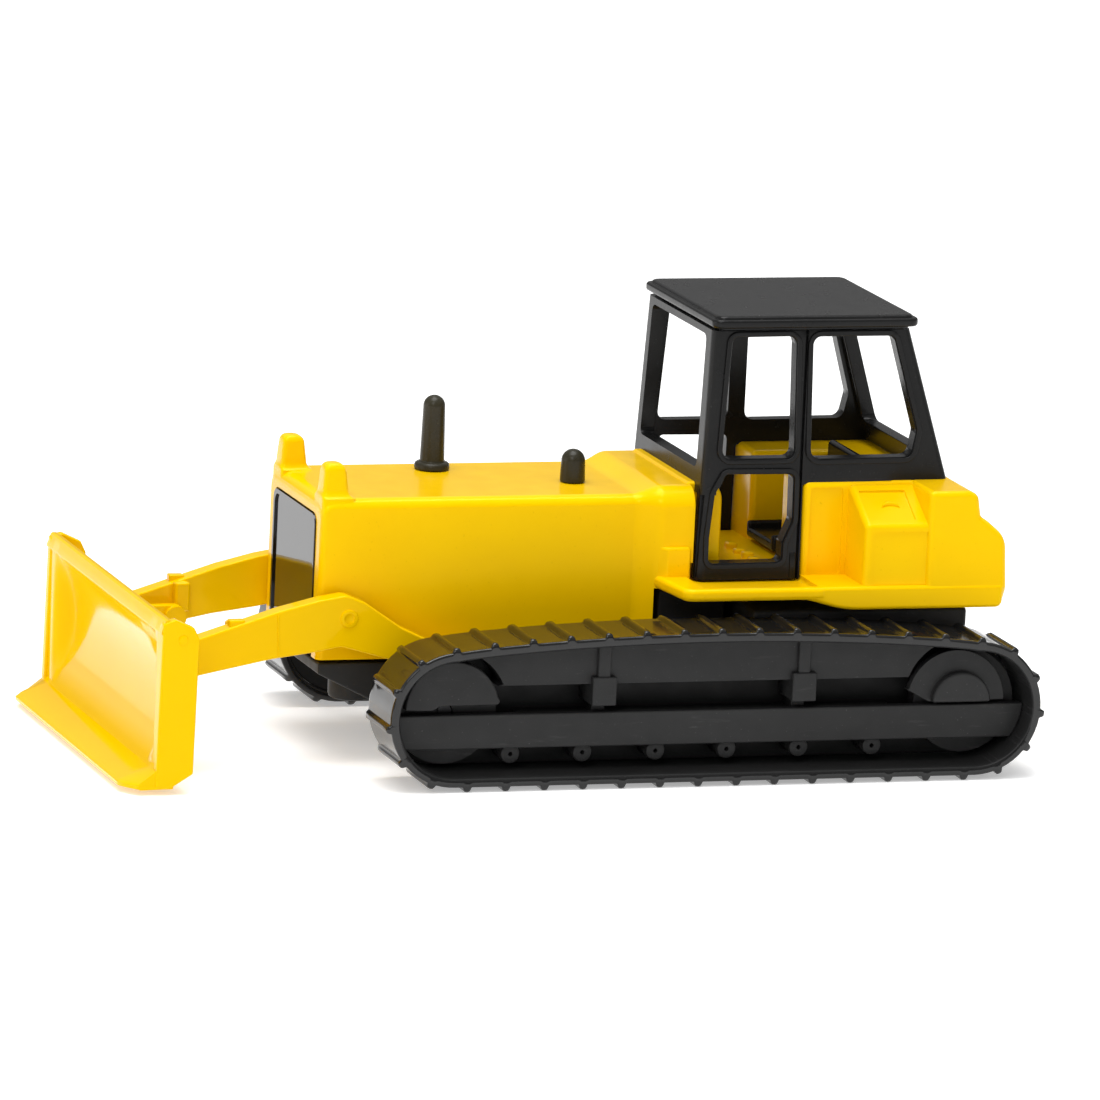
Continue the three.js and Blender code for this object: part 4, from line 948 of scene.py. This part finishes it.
def push_arm(side):
    """Cranked arm with a pivot eye, a raised ring boss, a tab, a stop bar inside and a parting step."""
    inner, outer = side * ARM["inner"], side * ARM["outer"]
    y, z = ARM["pivot_y"], ARM["pivot_z"]
    outline = [(-33.75, 7.85, 0.2), (-25.4, 9.55, 2.0), (-21.4, 10.1, 2.0), (-19.3, 10.5, 1.5),
               (-15.2, 9.35, 1.5)]
    outline += [tuple(p) for p in arc(y, z, 1.6, -115, 68, 20)]
    outline += [(-14.1, 12.1, 1.5), (-17.3, 14.25, 1.5), (-19.0, 14.95, 1.2), (-21.4, 14.55, 2.0),
                (-24.8, 13.7, 2.0), (-33.75, 10.85, 0.2)]
    arm = prism(rounded(outline, 8), "x", inner, outer, 0.24, 4)
    ring = cut(rod(0.78, outer - side * 0.2, outer + side * 0.14, -18.75, 12.95, 0.1),
               rod(0.46, outer + side * 0.02, outer + side, -18.75, 12.95, 0.06))
    tab = block(side * (ARM["inner"] + 0.5), side * (ARM["outer"] - 0.3), -29.1, -27.75, 11.6, 12.9, 0.12)
    parting = [(-24.9, 9.8), (-24.7, 9.8), (-24.9, 13.4), (-25.1, 13.4)]
    step = prism(parting, "x", outer - side * 0.06, outer + side * 0.08, 0.03, 1)
    stop = block(side * (LUG["outer"] + 0.1), side * (ARM["inner"] + 0.3), -28.9, -27.6, 10.0, 12.5, 0.2)
    arm = join(arm, ring, tab, step, stop)
    hole = rod(0.85, side * (ARM["inner"] - 1), side * (ARM["outer"] + 1), y, z, 0.02)
    socket = rod(LUG["hole"], side * (ARM["inner"] - 1), side * 10.0, LUG["pin_y"], LUG["pin_z"], 0.02)
    return cut(arm, hole, socket)


# ---------------------------------------------------------------- pieces on their bodies

finish(body_casting(), "painted_body", YELLOW, "die_cast_yellow", "machine", "body_casting", crease=40)
finish(grille(), "gloss_grille", GLOSS, "gloss_black", "machine", "grille_insert")
finish(stack(**STACK), "exhaust_pipe", OLIVE, "stack_grey", "machine", "exhaust_stack")
finish(stack(**INTAKE), "air_intake", OLIVE, "stack_grey", "machine", "intake_precleaner")
finish(cab_frame(), "cab_shell", CAB_BLACK, "cab_black", "machine", "cab_frame")
finish(cab_roof(), "cab_top", CAB_BLACK, "cab_black", "machine", "cab_roof")
finish(driver_seat(), "cab_bench", CAB_BLACK, "cab_black", "machine", "driver_seat")
finish(chassis(), "chassis_moulding", SATIN, "frame_black", "machine", "chassis_plate")
finish(blade(), "dozer_blade", LEMON, "blade_yellow", "blade_arms", "blade", crease=30)
for label, sign in SIDES.items():
    belt = finish(track_belt(sign), f"{label}_belt", BELT, "belt_black", "machine",
                  f"{label}_track_belt", crease=60)
    belt.data.materials.append(BELT_INSIDE)
    for face in belt.data.polygons:
        along_run = min(max(face.center.y, TRACK["front"] * MM), TRACK["rear"] * MM)
        outwards = Vector((0, face.center.y - along_run, face.center.z - TRACK["axle"] * MM))
        face.material_index = int(face.normal.dot(outwards.normalized()) < -0.5)
    finish(track_frame(sign), f"{label}_frame", FRAME_PAINTED_SHADE_PLASTIC, "frame_black", "machine", f"{label}_track_frame")
    finish(idler_cover(sign), f"{label}_half_disc", SATIN, "frame_black", "machine", f"{label}_idler_cover")
    finish(sprocket_cover(sign), f"{label}_dome", SATIN, "frame_black", "machine",
           f"{label}_sprocket_cover")
    finish(push_arm(sign), f"{label}_arm", LEMON, "blade_yellow", "blade_arms", f"{label}_push_arm")

KEPT = {
    "front_axle": AXLE_STEEL, "rear_axle": AXLE_STEEL, "arm_pivot_shaft": STEEL,
    "front_chassis_screw": STEEL, "rear_chassis_screw": STEEL,
}
for label in SIDES:
    KEPT |= {f"{label}_blade_pin": LEMON, f"{label}_front_wheel": SATIN, f"{label}_rear_wheel": SATIN}
for node, material in KEPT.items():
    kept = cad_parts[node]
    kept.data.materials.clear()
    kept.data.materials.append(material)

# ---------------------------------------------------------------- studio


def floor():
    bm = bmesh.new()
    side = 2.5
    bm.faces.new([bm.verts.new((p.x, p.y, 0)) for p in box2(-side, side, -side, side)])
    piece = make(bm, "floor")
    s = Surface("floor_white")
    s.link("Base Color", s.blend(s.span(s.noise(60.0, 2), 0, 1), (0.8, 0.8, 0.8), (0.84, 0.84, 0.84)))
    s.set(Roughness=0.9, Emission_Color=(1, 1, 1, 1), Emission_Strength=0.38)
    piece.data.materials.append(s.material)
    piece.location.z = -0.00002


def softbox(name, place, target, size, power):
    lamp = bpy.data.objects.new(name, bpy.data.lights.new(name, "AREA"))
    lamp.data.shape = "RECTANGLE"
    lamp.data.size, lamp.data.size_y = size
    lamp.data.energy = power
    aim = Vector(target) - Vector(place)
    lamp.location = place
    lamp.rotation_euler = aim.to_track_quat("-Z", "Y").to_euler()
    bpy.context.scene.collection.objects.link(lamp)


def camera():
    """Three-quarter view of the left side, nearly level, with a slight roll."""
    azimuth, elevation, roll = (math.radians(VIEW[key]) for key in ("azimuth", "elevation", "roll"))
    level = math.cos(elevation)
    back = Vector((math.sin(azimuth) * level, -math.cos(azimuth) * level, math.sin(elevation)))
    right = Vector((math.cos(azimuth), math.sin(azimuth), 0))
    up = back.cross(right)
    tilted_right = right * math.cos(roll) + up * math.sin(roll)
    tilted_up = up * math.cos(roll) - right * math.sin(roll)
    view = bpy.data.objects.new("camera", bpy.data.cameras.new("camera"))
    pose = Matrix((tilted_right, tilted_up, back)).transposed().to_4x4()
    pose.translation = Vector(VIEW["target"]) + back * VIEW["distance"]
    view.matrix_world = pose
    view.data.lens, view.data.sensor_width = VIEW["focal"], VIEW["sensor"]
    view.data.clip_start = VIEW["near"]
    bpy.context.scene.collection.objects.link(view)
    bpy.context.scene.camera = view


floor()
camera()
softbox("overhead", place=(0.05, -0.05, 0.6), target=(0, 0, 0.01), size=(0.4, 0.5), power=3.85)
softbox("key", place=(0.6, -0.35, 0.45), target=(0, 0, 0.015), size=(0.25, 0.3), power=1.1)
softbox("nose_fill", place=(-0.1, -0.7, 0.12), target=(0, 0, 0.01), size=(0.6, 0.35), power=0.9)

world = bpy.data.worlds.new("studio")
world.use_nodes = True
sky = world.node_tree
heading = sky.nodes.new("ShaderNodeTexCoord")
parts = sky.nodes.new("ShaderNodeSeparateXYZ")
sky.links.new(heading.outputs["Generated"], parts.inputs[0])


def glow(start, end, low, high):
    """Sky brightness that changes evenly between two heights."""
    made = sky.nodes.new("ShaderNodeMapRange")
    sky.links.new(parts.outputs["Z"], made.inputs["Value"])
    for key, value in (("From Min", start), ("From Max", end), ("To Min", low), ("To Max", high)):
        made.inputs[key].default_value = value
    return made.outputs[0]


brighter = sky.nodes.new("ShaderNodeMath")
brighter.operation = "MAXIMUM"
sky.links.new(glow(0.05, 0.1, SKY["horizon"], SKY["low"]), brighter.inputs[0])
sky.links.new(glow(0.15, 0.6, SKY["low"], SKY["high"]), brighter.inputs[1])
sky.nodes["Background"].inputs["Color"].default_value = (1, 1, 1, 1)
sky.links.new(brighter.outputs[0], sky.nodes["Background"].inputs["Strength"])
bpy.context.scene.world = world
bpy.context.scene.view_settings.view_transform = "Standard"

bpy.context.view_layer.update()
